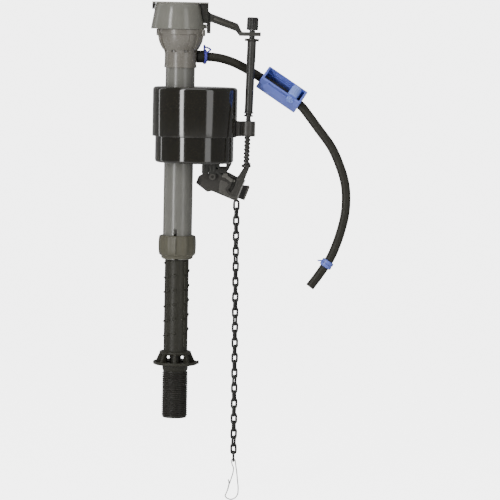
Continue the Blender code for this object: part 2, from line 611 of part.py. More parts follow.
def lock_bracket():
    """Legs under the float that carry the arm's pin, with the stop finger in the arm's slot."""
    pivot = (ARM_PIVOT.x / MM, ARM_PIVOT.z / MM)
    outline = [(21.3, 187.9), *arc((24.65, 181.9), 3.35, 180, 350, 7), (28.0, 184.0),
               *arc(pivot, 3.6, 170, 375, 9), (37.4, 180.6), (38.2, 178.6), (41.2, 176.2), (48.4, 172.4),
               (50.2, 169.9), (53.0, 171.3), (53.4, 172.2), (50.2, 178.0), (46.9, 180.4), (49.6, 187.9),
               (43.6, 187.9), (43.6, 184.8), (38.0, 184.8), (38.0, 187.9)]
    front = plate(outline, 1.8 * MM, 5.0 * MM)
    back = plate([(28.0, 187.9), *arc(pivot, 3.6, 170, 375, 9), (37.4, 187.9)], 8.4 * MM, 10.6 * MM)
    spacer = box((28.4 * MM, 4.0 * MM, 182.6 * MM), (37.2 * MM, 9.4 * MM, 187.9 * MM))
    finger = rod((51.6 * MM, 4.0 * MM, 171.7 * MM), (51.6 * MM, 8.2 * MM, 171.7 * MM), 1.2 * MM, 10)
    hole = rod((ARM_PIVOT.x, 0, ARM_PIVOT.z), (ARM_PIVOT.x, 12 * MM, ARM_PIVOT.z), 1.9 * MM, 12)
    finish(cut(join(front, spacer, back, finger), hole), "lock_bracket", "dark_grey", "float")
    pin = rod((ARM_PIVOT.x, 1.4 * MM, ARM_PIVOT.z), (ARM_PIVOT.x, 11.0 * MM, ARM_PIVOT.z), 1.6 * MM, 12)
    head = rod((ARM_PIVOT.x, 0.6 * MM, ARM_PIVOT.z), (ARM_PIVOT.x, 1.5 * MM, ARM_PIVOT.z), 2.5 * MM, 12)
    finish(join(pin, head), "arm_pin", "dark_grey", "float")


def lock_arm():
    """Plate that hangs from the pin: nose for the tube's catch, arc slot, chain hole and a weight."""
    pivot = (ARM_PIVOT.x / MM, ARM_PIVOT.z / MM)
    outline = [(34.8, 180.0), (28.0, 178.4), (22.6, 178.0), (18.4, 175.2), (16.05, 168.9), (26.8, 160.8),
               (30.9, 161.8), (51.4, 153.6), (55.3, 153.7), (58.9, 166.3), (65.2, 183.0), (66.9, 188.6),
               (63.6, 188.0), (59.4, 182.9), (55.4, 176.4), (54.2, 175.4), (47.0, 179.2), (43.6, 180.4)]
    slot = [*arc(pivot, 22.6, -44, -5, 8), *arc(pivot, 18.6, -5, -44, 8)]
    holes = [slot, arc(pivot, 1.9, 0, 330, 12), arc((53.6, 155.6), 1.1, 0, 315, 8)]
    finish(plate(outline, *ARM_Y, holes), "lock_arm", "dark_grey", "lock_arm")
    tab = plate([(59.4, 166.8), (60.6, 167.6), (64.6, 167.4), (65.9, 165.8), (61.6, 154.0), (55.9, 155.6)],
                5.0 * MM, 11.4 * MM)
    finish(tab, "arm_weight", "black", "lock_arm")


def chain_and_hook():
    """The chain as its plain envelope, and the wire hook for the flush lever."""
    line = [CHAIN_TOP.lerp(CHAIN_BOTTOM, i / 12) for i in range(13)]
    finish(wire(line, CHAIN_R), "chain", "black", "chain")
    x, y = CHAIN_BOTTOM.x / MM, CHAIN_BOTTOM.y
    line = [(x + 0.6, -110.5), (x - 1.6, -106.0), (x - 1.2, -97.0), *arc((x, -91.0), 1.4, 200, -20, 8),
            (x + 2.0, -97.0), (x + 4.4, -107.0), (x + 5.4, -117.5), *arc((x, -118.4), 5.4, -5, -175, 10),
            (x - 5.0, -112.0), (x - 3.2, -108.0)]
    loop = wire([Vector((px * MM, y, pz * MM)) for px, pz in line], HOOK_WIRE_R, 1)
    finish(loop, "chain_hook", "steel", "hook")


# ---- refill hose --------------------------------------------------------------------------------
def along_nipple(radius):
    """A point on the nipple's axis at a distance from the tube axis."""
    return Vector((radius * math.cos(NIPPLE_TURN), radius * math.sin(NIPPLE_TURN), NIPPLE_Z))


def hose():
    """Refill hose, its end sleeve on the nipple and the two band clamps."""
    start = along_nipple(24.4 * MM)
    points = smooth_path([start, *HOSE_ROUTE], 30)
    finish(wire(points, HOSE_R), "refill_hose", "rubber", "valve_body")
    cuff = rod(along_nipple(16.4 * MM), along_nipple(24.1 * MM), 5.6 * MM, 16)
    bore = rod(along_nipple(14.0 * MM), along_nipple(26.0 * MM), 3.2 * MM, 14)
    finish(cut(cuff, bore), "hose_cuff", "rubber", "valve_body")
    band = rod(along_nipple(21.0 * MM), along_nipple(23.8 * MM), 6.6 * MM, 16)
    hole = rod(along_nipple(14.0 * MM), along_nipple(26.0 * MM), 5.9 * MM, 16)
    ear = along_nipple(22.4 * MM)
    tab = box((ear.x - 1.2 * MM, ear.y - 2 * MM, ear.z + 6.2 * MM),
              (ear.x + 1.2 * MM, ear.y + 2 * MM, ear.z + 11 * MM))
    grip = box((ear.x + 0.6 * MM, ear.y - 1.6 * MM, ear.z + 6.0 * MM),
               (ear.x + 4.6 * MM, ear.y + 1.6 * MM, ear.z + 9.2 * MM))
    clear = rod(along_nipple(14 * MM), along_nipple(30 * MM), 6.1 * MM)
    finish(join(cut(band, hole), cut(join(tab, grip), clear)), "inlet_clamp", "blue", "valve_body")
    low, high = points[-4], points[-3]
    way = (points[-1] - points[-6]).normalized()
    middle = low.lerp(high, 0.5)
    band = rod(middle - way * 3.4 * MM, middle + way * 3.4 * MM, 5.8 * MM, 16)
    hole = rod(middle - way * 9 * MM, middle + way * 9 * MM, HOSE_R + 0.45 * MM, 16)
    tail = box(middle + Vector((-8.5, -1.2, 2.2)) * MM, middle + Vector((-3.0, 1.2, 4.0)) * MM)
    finish(cut(join(band, tail), hole), "outlet_clamp", "blue", "valve_body")


def clamp_frame():
    """Matrix of the roller clamp: X along the hose, Y towards the front wall, Z out of the channel."""
    up = Vector((-CLAMP_AXIS.z, 0.0, CLAMP_AXIS.x))
    out = (up + Vector((0, -1, 0))).normalized()
    out = (out - CLAMP_AXIS * out.dot(CLAMP_AXIS)).normalized()
    side = out.cross(CLAMP_AXIS)
    turn = Matrix((CLAMP_AXIS, side, out)).transposed().to_4x4()
    return Matrix.Translation(CLAMP_CENTRE) @ turn


def set_in(obj, frame):
    """The object moved from the clamp's own axes into the valve's."""
    bpy.context.view_layer.update()
    obj.matrix_world = frame @ obj.matrix_world
    return obj


def roller_clamp():
    """Channel that the hose runs through, and the roller that pinches it."""
    frame = clamp_frame()
    half = CLAMP_LENGTH / 2
    wall = CLAMP_WIDTH / 2
    channel = box((-half, -wall, -7.0 * MM), (half, wall, 11.6 * MM), 0.8 * MM)
    inside = box((-half + 2.2 * MM, -wall + 1.7 * MM, -4.9 * MM), (half - 2.2 * MM, wall - 1.7 * MM, 14 * MM))
    bore = rod((-half - MM, 0, 0), (half + MM, 0, 0), HOSE_R + 1.3 * MM, 14)
    slot = box((-13.5 * MM, -wall - MM, 7.9 * MM), (13.5 * MM, wall + MM, 11.0 * MM))
    finish(set_in(cut(channel, inside, bore, slot), frame), "roller_clamp", "blue", "valve_body")
    wheel_half = wall - 2.1 * MM
    axle_half = wall + 0.4 * MM
    wheel = rod((ROLLER_AT, -wheel_half, ROLLER_UP), (ROLLER_AT, wheel_half, ROLLER_UP), 4.9 * MM, 16)
    axle = rod((ROLLER_AT, -axle_half, ROLLER_UP), (ROLLER_AT, axle_half, ROLLER_UP), 1.2 * MM, 10)
    grip = rod((ROLLER_AT, -wall - 2.9 * MM, ROLLER_UP), (ROLLER_AT, -wall - 0.3 * MM, ROLLER_UP),
               3.8 * MM, 16)
    finish(set_in(join(wheel, axle, grip), frame), "clamp_roller", "blue", "roller")


def main():
    start_scene()
    body("shank", (0, 0, 0))
    body("lock_ring", (0, 0, RING_BOTTOM), "shank")
    body("valve_body", (0, 0, TUBE_BOTTOM), "lock_ring")
    body("lever", LEVER_PIVOT, "valve_body")
    body("rod_carrier", (ROD_X, 0, 302 * MM), "valve_body")
    body("rod", ROD_MID, "rod_carrier")
    body("float", (FLOAT_X, 0, FLOAT_BOTTOM), "rod_carrier")
    body("lock_arm", (ARM_PIVOT.x, ARM_MID_Y, ARM_PIVOT.z), "float")
    body("chain", CHAIN_TOP, "lock_arm")
    body("hook", CHAIN_BOTTOM, "chain")
    body("roller", clamp_frame() @ Vector((ROLLER_AT, 0, ROLLER_UP)), "valve_body")
    threaded_shank()
    riser_pipe()
    lock_ring()
    upper_tube()
    valve_head()
    water_works()
    cap()
    lever_yoke()
    cap_lever()
    adjusting_rod()
    rod_retainer()
    float_shells()
    rod_clip()
    lock_bracket()
    lock_arm()
    chain_and_hook()
    hose()
    roller_clamp()


main()
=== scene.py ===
"""Looks for the toilet fill valve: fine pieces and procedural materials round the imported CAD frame.

Metres, in the frame's own axes: +Z up the valve tube, +X towards the float rod, -Y to the front.
Lengths in the outlines are millimetres times MM.
"""
import json
import math

import bmesh
import bpy
from mathutils import Matrix, Vector


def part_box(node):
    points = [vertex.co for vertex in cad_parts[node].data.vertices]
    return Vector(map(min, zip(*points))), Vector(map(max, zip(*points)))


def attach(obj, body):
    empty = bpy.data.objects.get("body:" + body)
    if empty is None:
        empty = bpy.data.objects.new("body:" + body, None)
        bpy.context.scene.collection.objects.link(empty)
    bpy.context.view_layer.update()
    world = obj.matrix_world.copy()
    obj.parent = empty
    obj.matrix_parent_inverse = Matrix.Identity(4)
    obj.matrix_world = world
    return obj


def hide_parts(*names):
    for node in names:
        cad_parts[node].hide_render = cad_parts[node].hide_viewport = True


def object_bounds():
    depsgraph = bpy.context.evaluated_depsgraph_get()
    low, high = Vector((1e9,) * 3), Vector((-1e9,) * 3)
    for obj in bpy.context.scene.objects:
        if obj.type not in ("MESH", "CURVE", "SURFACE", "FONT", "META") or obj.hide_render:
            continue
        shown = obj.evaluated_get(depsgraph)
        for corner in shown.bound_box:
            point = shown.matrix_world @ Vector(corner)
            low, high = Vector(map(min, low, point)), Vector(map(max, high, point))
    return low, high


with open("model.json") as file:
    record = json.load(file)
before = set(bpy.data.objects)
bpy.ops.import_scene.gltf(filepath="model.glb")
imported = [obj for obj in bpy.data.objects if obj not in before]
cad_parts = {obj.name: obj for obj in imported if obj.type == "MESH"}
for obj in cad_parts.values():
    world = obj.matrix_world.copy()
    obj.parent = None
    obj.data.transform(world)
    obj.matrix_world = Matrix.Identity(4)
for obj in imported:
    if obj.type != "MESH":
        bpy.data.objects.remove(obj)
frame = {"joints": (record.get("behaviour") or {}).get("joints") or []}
CAD_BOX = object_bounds()

MM = 0.001
FINE = 128                # facets round a large turned piece
MEDIUM = 64
SMALL = 32
HOSE_SIDES = 40
WIRE_SIDES = 10           # facets round a link's wire
UP = Vector((0.0, 0.0, 1.0))


def node_box(name):
    """Lowest and highest corner of a CAD node as vectors."""
    low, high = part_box(name)
    return Vector(low), Vector(high)


SHANK_LOW, SHANK_HIGH = node_box("threaded_shank")
TUBE_LOW, TUBE_HIGH = node_box("upper_tube")
CUP_LOW, CUP_HIGH = node_box("float_cup")
BASE_LOW = node_box("float_base")[0]
CHAIN_LOW, CHAIN_HIGH = node_box("chain")
JOINTS = {joint["name"]: joint for joint in frame["joints"]}


# ---- camera, light and floor --------------------------------------------------------------------
FLOOR_GLOW = 4.5          # only the camera sees it, so the floor is near white and lights nothing


def set_inputs(node, values):
    """Set a node's inputs from a table of names and values."""
    for key, value in values.items():
        node.inputs[key].default_value = value


def camera():
    """A long lens at the height of the float, aimed down at the object's middle and rolled a little."""
    aim = Vector((0.0676, 0.0, 0.1080))
    eye = Vector((0.0676, -2.4, 0.305))
    width_at_aim = 0.4639
    roll = math.radians(1.14)
    look = (aim - eye).normalized()
    right = look.cross(UP).normalized()
    top = right.cross(look)
    turned_right = right * math.cos(roll) + top * math.sin(roll)
    turned_top = top * math.cos(roll) - right * math.sin(roll)
    turn = Matrix((turned_right, turned_top, -look)).transposed().to_4x4()
    lens = bpy.data.cameras.new("camera")
    lens.sensor_width = 36.0
    lens.lens = 36.0 * (aim - eye).length / width_at_aim
    eye_object = bpy.data.objects.new("camera", lens)
    eye_object.matrix_world = Matrix.Translation(eye) @ turn
    bpy.context.scene.collection.objects.link(eye_object)
    bpy.context.scene.camera = eye_object


def softbox(name, place, aim, width, height, power):
    """A rectangular studio light."""
    data = bpy.data.lights.new(name, "AREA")
    data.shape = "RECTANGLE"
    data.size = width
    data.size_y = height
    data.energy = power
    lamp = bpy.data.objects.new(name, data)
    lamp.location = place
    lamp.rotation_euler = (Vector(aim) - Vector(place)).to_track_quat("-Z", "Y").to_euler()
    bpy.context.scene.collection.objects.link(lamp)


def studio():
    """Pale sweep, white surroundings and soft lights."""
    world = bpy.data.worlds.new("studio")
    bpy.context.scene.world = world
    world.use_nodes = True
    sky = world.node_tree.nodes["Background"]
    set_inputs(sky, {"Color": (1.0, 1.0, 1.0, 1.0), "Strength": 0.25})
    aim = (0.01, 0.0, 0.18)
    softbox("strip_left", (-0.52, -0.78, 0.30), aim, 0.16, 1.3, 8.4)
    softbox("strip_right", (0.68, -0.76, 0.30), aim, 0.32, 1.3, 2.8)
    softbox("strip_side", (-0.80, 0.31, 0.30), aim, 0.05, 1.3, 0.8)
    softbox("top", (0.0, -0.3, 1.3), aim, 0.9, 0.9, 4.0)
    floor = bpy.data.meshes.new("floor")
    level = CAD_BOX[0][2] - 0.004
    profile = [(-3.0, level), (1.6, level)]
    profile += [(1.6 + 0.9 * math.sin(math.radians(a)), level + 0.9 * (1 - math.cos(math.radians(a))))
                for a in range(10, 91, 10)]
    profile.append((2.5, level + 4.0))
    points = [(x, y, z) for y, z in profile for x in (-4.0, 4.0)]
    faces = [(2 * i, 2 * i + 1, 2 * i + 3, 2 * i + 2) for i in range(len(profile) - 1)]
    floor.from_pydata(points, [], faces)
    floor.shade_smooth()
    sweep = bpy.data.objects.new("floor", floor)
    bpy.context.scene.collection.objects.link(sweep)
    paper = bpy.data.materials.new("paper")
    paper.use_nodes = True
    shader = paper.node_tree.nodes["Principled BSDF"]
    set_inputs(shader, {"Base Color": (0.93, 0.93, 0.93, 1.0), "Emission Color": (1.0, 1.0, 1.0, 1.0)})
    seen = paper.node_tree.nodes.new("ShaderNodeLightPath")
    glow = paper.node_tree.nodes.new("ShaderNodeMath")
    glow.operation = "MULTIPLY"
    glow.inputs[1].default_value = FLOOR_GLOW
    paper.node_tree.links.new(seen.outputs["Is Camera Ray"], glow.inputs[0])
    paper.node_tree.links.new(glow.outputs[0], shader.inputs["Emission Strength"])
    set_inputs(shader, {"Roughness": 0.9, "Specular IOR Level": 0.1})
    floor.materials.append(paper)


# ---- materials ----------------------------------------------------------------------------------
class Shader:
    """A small helper that strings nodes of one material together."""

    def __init__(self, name):
        self.material = bpy.data.materials.new(name)
        self.material.use_nodes = True
        self.tree = self.material.node_tree
        self.base = self.tree.nodes["Principled BSDF"]
        place = self.add("ShaderNodeTexCoord")
        self.here = place.outputs["Object"]

    def add(self, kind, **settings):
        node = self.tree.nodes.new(kind)
        for key, value in settings.items():
            setattr(node, key, value)
        return node

    def link(self, source, target):
        self.tree.links.new(source, target)

    def stretched(self, scale):
        """Object coordinates scaled by a vector."""
        mapping = self.add("ShaderNodeMapping")
        mapping.inputs["Scale"].default_value = scale
        self.link(self.here, mapping.inputs["Vector"])
        return mapping.outputs["Vector"]

    def noise(self, scale, detail=4.0, stretch=(1, 1, 1)):
        node = self.add("ShaderNodeTexNoise")
        set_inputs(node, {"Scale": scale, "Detail": detail})
        self.link(self.stretched(stretch), node.inputs["Vector"])
        return node.outputs["Fac"]

    def ranged(self, value, low, high, from_low=0.3, from_high=0.7):
        node = self.add("ShaderNodeMapRange")
        set_inputs(node, {"From Min": from_low, "From Max": from_high, "To Min": low, "To Max": high})
        self.link(value, node.inputs["Value"])
        return node.outputs["Result"]

    def mixed(self, factor, first, second, blend="MIX"):
        """A colour mix; first and second are colours or sockets."""
        node = self.add("ShaderNodeMix", data_type="RGBA", blend_type=blend)
        for socket, value in ((node.inputs[6], first), (node.inputs[7], second)):
            if isinstance(value, tuple):
                socket.default_value = (*value, 1.0)
            else:
                self.link(value, socket)
        if isinstance(factor, float):
            node.inputs[0].default_value = factor
        else:
            self.link(factor, node.inputs[0])
        return node.outputs[2]

    def bump(self, height, strength, distance, under=None):
        node = self.add("ShaderNodeBump")
        set_inputs(node, {"Strength": strength, "Distance": distance})
        self.link(height, node.inputs["Height"])
        if under:
            self.link(under, node.inputs["Normal"])
        return node.outputs["Normal"]


def shaded(colour, by):
    return tuple(min(1.0, c * by) for c in colour)


def plastic(name, colour, roughness, grain=0.25, streak=0.10, edge=1.35, coat=0.0, shine=0.5):
    """Moulded plastic: faint flow streaks, fine grain, worn pale edges and handling marks."""
    s = Shader(name)
    cloud = s.ranged(s.noise(60, 5.0), 0.0, 1.0)
    flow = s.ranged(s.noise(140, 3.0, (1.0, 1.0, 0.12)), 0.0, 1.0)
    tone = s.mixed(cloud, shaded(colour, 1 - streak), shaded(colour, 1 + streak))
    tone = s.mixed(s.ranged(flow, 0.0, 0.35, 0.0, 1.0), tone, shaded(colour, 1 + 1.2 * streak))
    shape = s.add("ShaderNodeNewGeometry")
    rim = s.ranged(shape.outputs["Pointiness"], 0.0, 0.6, 0.53, 0.62)
    tone = s.mixed(rim, tone, shaded(colour, edge))
    s.link(tone, s.base.inputs["Base Color"])
    marks = s.ranged(s.noise(420, 6.0), roughness * 0.85, roughness * 1.25)
    s.link(marks, s.base.inputs["Roughness"])
    fine = s.bump(s.noise(2600, 2.0), grain, 0.00003)
    waves = s.bump(s.noise(90, 2.0, (1.0, 1.0, 0.4)), 0.05, 0.0002, fine)
    s.link(waves, s.base.inputs["Normal"])
    set_inputs(s.base, {"Specular IOR Level": shine, "Coat Weight": coat, "Coat Roughness": 0.08})
    return s.material


def rubber(name, colour):
    """Extruded rubber: matt, with fine lines along it and a little bloom."""
    s = Shader(name)
    bloom = s.ranged(s.noise(160, 6.0), 0.0, 0.5)
    tone = s.mixed(bloom, colour, shaded(colour, 1.5))
    s.link(tone, s.base.inputs["Base Color"])
    s.link(s.ranged(s.noise(500, 4.0), 0.42, 0.6), s.base.inputs["Roughness"])
    fine = s.bump(s.noise(1800, 3.0), 0.35, 0.00004)
    s.link(s.bump(s.noise(220, 2.0), 0.15, 0.00015, fine), s.base.inputs["Normal"])
    set_inputs(s.base, {"Specular IOR Level": 0.28, "Sheen Weight": 0.04})
    return s.material


def bright_wire(name, colour):
    """Drawn steel: lengthwise draw marks and slight tarnish."""
    s = Shader(name)
    tarnish = s.ranged(s.noise(240, 5.0), 0.0, 0.4)
    s.link(s.mixed(tarnish, colour, shaded(colour, 0.7)), s.base.inputs["Base Color"])
    s.base.inputs["Metallic"].default_value = 1.0
    s.link(s.ranged(s.noise(700, 3.0, (1, 1, 0.1)), 0.16, 0.34), s.base.inputs["Roughness"])
    s.link(s.bump(s.noise(2200, 2.0, (1, 1, 0.08)), 0.3, 0.00003), s.base.inputs["Normal"])
    return s.material


PLASTICS = {
    # name: colour, roughness, and what differs from plain plastic
    "cap": ((0.185, 0.182, 0.158), 0.15, dict(streak=0.06, edge=1.25)),
    "head": ((0.180, 0.168, 0.145), 0.24, dict(streak=0.07)),
    "tube": ((0.170, 0.168, 0.150), 0.22, dict(streak=0.07)),
    "ring": ((0.100, 0.095, 0.069), 0.38, dict(grain=0.4, shine=0.35)),
    "shank": ((0.029, 0.028, 0.021), 0.40, dict(grain=0.5, streak=0.14, edge=1.8, shine=0.28)),
    "float": ((0.0095, 0.0080, 0.0042), 0.10, dict(grain=0.08, streak=0.10, edge=2.2, coat=0.7)),
    "black": ((0.024, 0.023, 0.019), 0.32, dict(grain=0.4, streak=0.14, edge=2.0)),
    "lever": ((0.060, 0.058, 0.049), 0.30, dict(grain=0.4, streak=0.14, edge=2.0)),
    "rod": ((0.030, 0.029, 0.025), 0.38, dict(grain=0.4, streak=0.14, edge=2.0)),
    "step": ((0.078, 0.074, 0.065), 0.40, dict(grain=0.5, streak=0.12, edge=1.6)),
    "arm": ((0.052, 0.049, 0.043), 0.42, dict(grain=0.5, streak=0.12, edge=1.6, shine=0.35)),
    "bracket": ((0.036, 0.036, 0.031), 0.38, dict(grain=0.5, streak=0.12, edge=1.8)),
    "beam": ((0.135, 0.130, 0.115), 0.36, dict(grain=0.5, streak=0.12, edge=1.5)),
    # Pale plastic for the strip down the lock arm's blade edge: a painted highlight.
    "edge_highlight": ((0.20, 0.195, 0.185), 0.40, dict(grain=0.3, streak=0.10, edge=1.2)),
    "weight": ((0.012, 0.011, 0.010), 0.45, dict(grain=0.4, streak=0.12, edge=1.6, shine=0.3)),
    "clip": ((0.042, 0.039, 0.035), 0.36, dict(grain=0.5, streak=0.12, edge=1.8)),
    "strap": ((0.42, 0.41, 0.37), 0.30, dict(streak=0.06, edge=1.4)),
    "thread": ((0.028, 0.026, 0.022), 0.34, dict(grain=0.4, streak=0.14, edge=1.8)),
    "natural": ((0.52, 0.52, 0.47), 0.40, dict()),
    "band": ((0.075, 0.070, 0.42), 0.33, dict(streak=0.10, edge=1.4)),
    "clamp": ((0.135, 0.180, 0.60), 0.33, dict(streak=0.10, edge=1.5)),
    "roller": ((0.26, 0.37, 0.90), 0.36, dict(streak=0.08, edge=1.3)),
    "chain": ((0.018, 0.018, 0.016), 0.36, dict(grain=0.5, edge=2.0)),
}
MATERIALS = {name: plastic(name + "_plastic", colour, roughness, **more)
             for name, (colour, roughness, more) in PLASTICS.items()}
MATERIALS["hose"] = rubber("hose_rubber", (0.024, 0.0225, 0.0165))
MATERIALS["seal"] = rubber("seal_rubber", (0.013, 0.013, 0.011))
MATERIALS["steel"] = bright_wire("hook_steel", (0.70, 0.70, 0.69))


# ---- mesh tools ---------------------------------------------------------------------------------
def metres(*lengths):
    """Lengths in millimetres as a tuple in metres."""
    return tuple(length * MM for length in lengths)


def linked(mesh, name):
    """A new object in the scene for a mesh or a curve."""
    obj = bpy.data.objects.new(name, mesh)
    bpy.context.scene.collection.objects.link(obj)
    return obj


def bridge(work, rings, wrap=False):
    """Faces between each ring of corners and the next one; wrap also joins the last ring to the first."""
    for i, ring in enumerate(rings if wrap else rings[:-1]):
        after = rings[(i + 1) % len(rings)]
        for k in range(len(ring)):
            n = (k + 1) % len(ring)
            work.faces.new((ring[k], ring[n], after[n], after[k]))


def finished(work, name, outward=False):
    """An object with the mesh that a bmesh holds; outward first turns its faces to look out."""
    if outward:
        bmesh.ops.recalc_face_normals(work, faces=work.faces)
    mesh = bpy.data.meshes.new(name)
    work.to_mesh(mesh)
    work.free()
    return linked(mesh, name)


def baked(obj):
    """The object as a plain mesh in the frame, with its modifiers applied."""
    bpy.context.view_layer.update()
    graph = bpy.context.evaluated_depsgraph_get()
    mesh = bpy.data.meshes.new_from_object(obj.evaluated_get(graph))
    mesh.transform(obj.matrix_world)
    work = bmesh.new()
    work.from_mesh(mesh)
    bmesh.ops.remove_doubles(work, verts=work.verts, dist=0.000002)
    bmesh.ops.recalc_face_normals(work, faces=work.faces)
    work.to_mesh(mesh)
    work.free()
    name = obj.name
    bpy.data.objects.remove(obj, do_unlink=True)
    return linked(mesh, name)


def combine(base, tools, operation):
    """Apply one Boolean after another and remove the tools."""
    base = baked(base)
    for tool in tools:
        tool = baked(tool)
        change = base.modifiers.new("boolean", "BOOLEAN")
        change.operation = operation
        change.object = tool
        base = baked(base)
        bpy.data.objects.remove(tool, do_unlink=True)
    return base


def join(base, *tools):
    return combine(base, tools, "UNION")


def cut(base, *tools):
    return combine(base, tools, "DIFFERENCE")


def spread(obj, matrix):
    """Move an object by a matrix in the frame."""
    bpy.context.view_layer.update()
    obj.matrix_world = matrix @ obj.matrix_world
    return obj


def spun(obj, degrees):
    """Turn an object about the Z axis."""
    return spread(obj, Matrix.Rotation(math.radians(degrees), 4, "Z"))


def turned(profile, closed=False, steps=FINE, at=(0, 0)):
    """A turned solid from (radius, height) points in millimetres that run down the outer side."""
    work = bmesh.new()
    rings = []
    for radius, height in profile:
        if radius <= 0:
            rings.append([work.verts.new(metres(*at, height))])
            continue
        ring = []
        for k in range(steps):
            turn = 2 * math.pi * k / steps
            ring.append(work.verts.new(metres(at[0] + radius * math.cos(turn),
                                              at[1] + radius * math.sin(turn), height)))
        rings.append(ring)
    pairs = list(zip(rings, rings[1:]))
    if closed:
        pairs.append((rings[-1], rings[0]))
    for first, second in pairs:
        for k in range(steps):
            n = (k + 1) % steps
            corners = list(dict.fromkeys((first[k % len(first)], second[k % len(second)],
                                          second[n % len(second)], first[n % len(first)])))
            if len(corners) > 2:
                work.faces.new(corners)
    return finished(work, "turned", outward=True)


def pipe(outer, inner, bottom, top, steps=FINE, edge=0.3):
    """A straight tube along Z with rounded rims, in millimetres."""
    ring = [(outer - edge, top), (outer, top - edge), (outer, bottom + edge), (outer - edge, bottom),
            (inner + edge, bottom), (inner, bottom + edge), (inner, top - edge), (inner + edge, top)]
    return turned(ring, True, steps)


def box(low, high, bevel=0.3):
    """A box with rounded edges between two corners, in millimetres."""
    low, high = Vector(low) * MM, Vector(high) * MM
    work = bmesh.new()
    bmesh.ops.create_cube(work, size=1.0)
    bmesh.ops.transform(work, matrix=Matrix.Translation((low + high) / 2)
                        @ Matrix.Diagonal((*(high - low), 1.0)), verts=work.verts)
    if bevel:
        bmesh.ops.bevel(work, geom=list(work.edges), offset=bevel * MM, segments=3, profile=0.5,
                        affect="EDGES")
    return finished(work, "box")


def bar(start, end, radius, steps=SMALL, end_radius=None, edge=0.0):
    """A round bar or cone between two points, all in millimetres."""
    start, end = Vector(start) * MM, Vector(end) * MM
    length = (end - start).length / MM
    last = radius if end_radius is None else end_radius
    profile = [(0, length), (last, length), (radius, 0), (0, 0)]
    if edge:
        profile[1:3] = [(last - edge, length), (last, length - edge), (radius, edge), (radius - edge, 0)]
    obj = turned(profile, steps=steps)
    turn = (end - start).to_track_quat("Z", "Y").to_matrix().to_4x4()
    return spread(obj, Matrix.Translation(start) @ turn)


def plate(outline, y_low, y_high, holes=(), bevel=0.25):
    """A flat plate in the XZ plane from (x, z) outlines, between two Y values, all in millimetres."""
    curve = bpy.data.curves.new("plate", "CURVE")
    curve.dimensions = "2D"
    curve.fill_mode = "BOTH"
    curve.extrude = (y_high - y_low) / 2 * MM - bevel * MM
    curve.bevel_depth = bevel * MM
    curve.offset = -bevel * MM
    curve.bevel_resolution = 2
    for ring in (outline, *holes):
        spline = curve.splines.new("POLY")
        spline.points.add(len(ring) - 1)
        spline.use_cyclic_u = True
        for point, (x, z) in zip(spline.points, ring):
            point.co = (x * MM, z * MM, 0.0, 1.0)
    obj = linked(curve, "plate")
    turn = Matrix.Rotation(math.radians(90), 4, "X")
    obj.matrix_world = Matrix.Translation((0.0, (y_low + y_high) / 2 * MM, 0.0)) @ turn
    return baked(obj)


def wire(points, radius, name, resolution):
    """A round wire through points, in metres."""
    curve = bpy.data.curves.new(name, "CURVE")
    curve.dimensions = "3D"
    curve.bevel_depth = radius
    curve.bevel_resolution = resolution
    curve.use_fill_caps = True
    spline = curve.splines.new("POLY")
    spline.points.add(len(points) - 1)
    for point, here in zip(spline.points, points):
        point.co = (*here, 1.0)
    return linked(curve, name)


def arc(centre, radius, start, end, count):
    """(x, z) points on an arc, angles in degrees."""
    turns = [math.radians(start + (end - start) * i / (count - 1)) for i in range(count)]
    return [(centre[0] + radius * math.cos(t), centre[1] + radius * math.sin(t)) for t in turns]


def rounded(outline, radius=0.8, count=4):
    """The outline with its corners rounded."""
    result = []
    points = [Vector(p) for p in outline]
    for i, here in enumerate(points):
        before, after = points[i - 1], points[(i + 1) % len(points)]
        reach = min(radius, (before - here).length * 0.4, (after - here).length * 0.4)
        a = here + (before - here).normalized() * reach
        b = here + (after - here).normalized() * reach
        for k in range(count + 1):
            t = k / count
            result.append(tuple(a * (1 - t) ** 2 + here * 2 * t * (1 - t) + b * t * t))
    return result


def smooth_path(points, count):
    """Evenly spaced points on a smooth curve through the given points."""
    dense = []
    ends = [points[0] * 2 - points[1], *points, points[-1] * 2 - points[-2]]
    for i in range(1, len(ends) - 2):
        a, b, c, d = ends[i - 1:i + 3]
        for k in range(12):
            t = k / 12
            dense.append(0.5 * ((2 * b) + (c - a) * t + (2 * a - 5 * b + 4 * c - d) * t * t
                                + (3 * b - a - 3 * c + d) * t ** 3))
    dense.append(points[-1])
    lengths = [0.0]
    for a, b in zip(dense, dense[1:]):
        lengths.append(lengths[-1] + (b - a).length)
    result, j = [], 0
    for i in range(count):
        want = lengths[-1] * i / (count - 1)
        while j < len(dense) - 2 and lengths[j + 1] < want:
            j += 1
        share = (want - lengths[j]) / (lengths[j + 1] - lengths[j])
        result.append(dense[j].lerp(dense[j + 1], min(1.0, share)))
    return result


def threaded(crest, root, pitch, bottom, top, around, rows, sharp):
    """A closed bar with a right-hand thread, in millimetres: each ring's radius follows the helix."""
    work = bmesh.new()
    levels = int(round((top - bottom) / pitch * rows))
    rings = []
    for i in range(levels + 1):
        z = bottom + (top - bottom) * i / levels
        fade = max(0.0, min(1.0, (z - bottom) / pitch, (top - z) / pitch))
        ring = []
        for k in range(around):
            turn = 2 * math.pi * k / around
            height = abs(2 * ((z / pitch - k / around) % 1.0) - 1)
            height = min(1.0, max(0.0, (height - 0.5) / sharp + 0.5))
            radius = root + (crest - root) * height * fade
            ring.append(work.verts.new(metres(radius * math.cos(turn), radius * math.sin(turn), z)))
        rings.append(ring)
    bridge(work, rings)
    work.faces.new(list(reversed(rings[0])))
    work.faces.new(rings[-1])
    return finished(work, "thread")


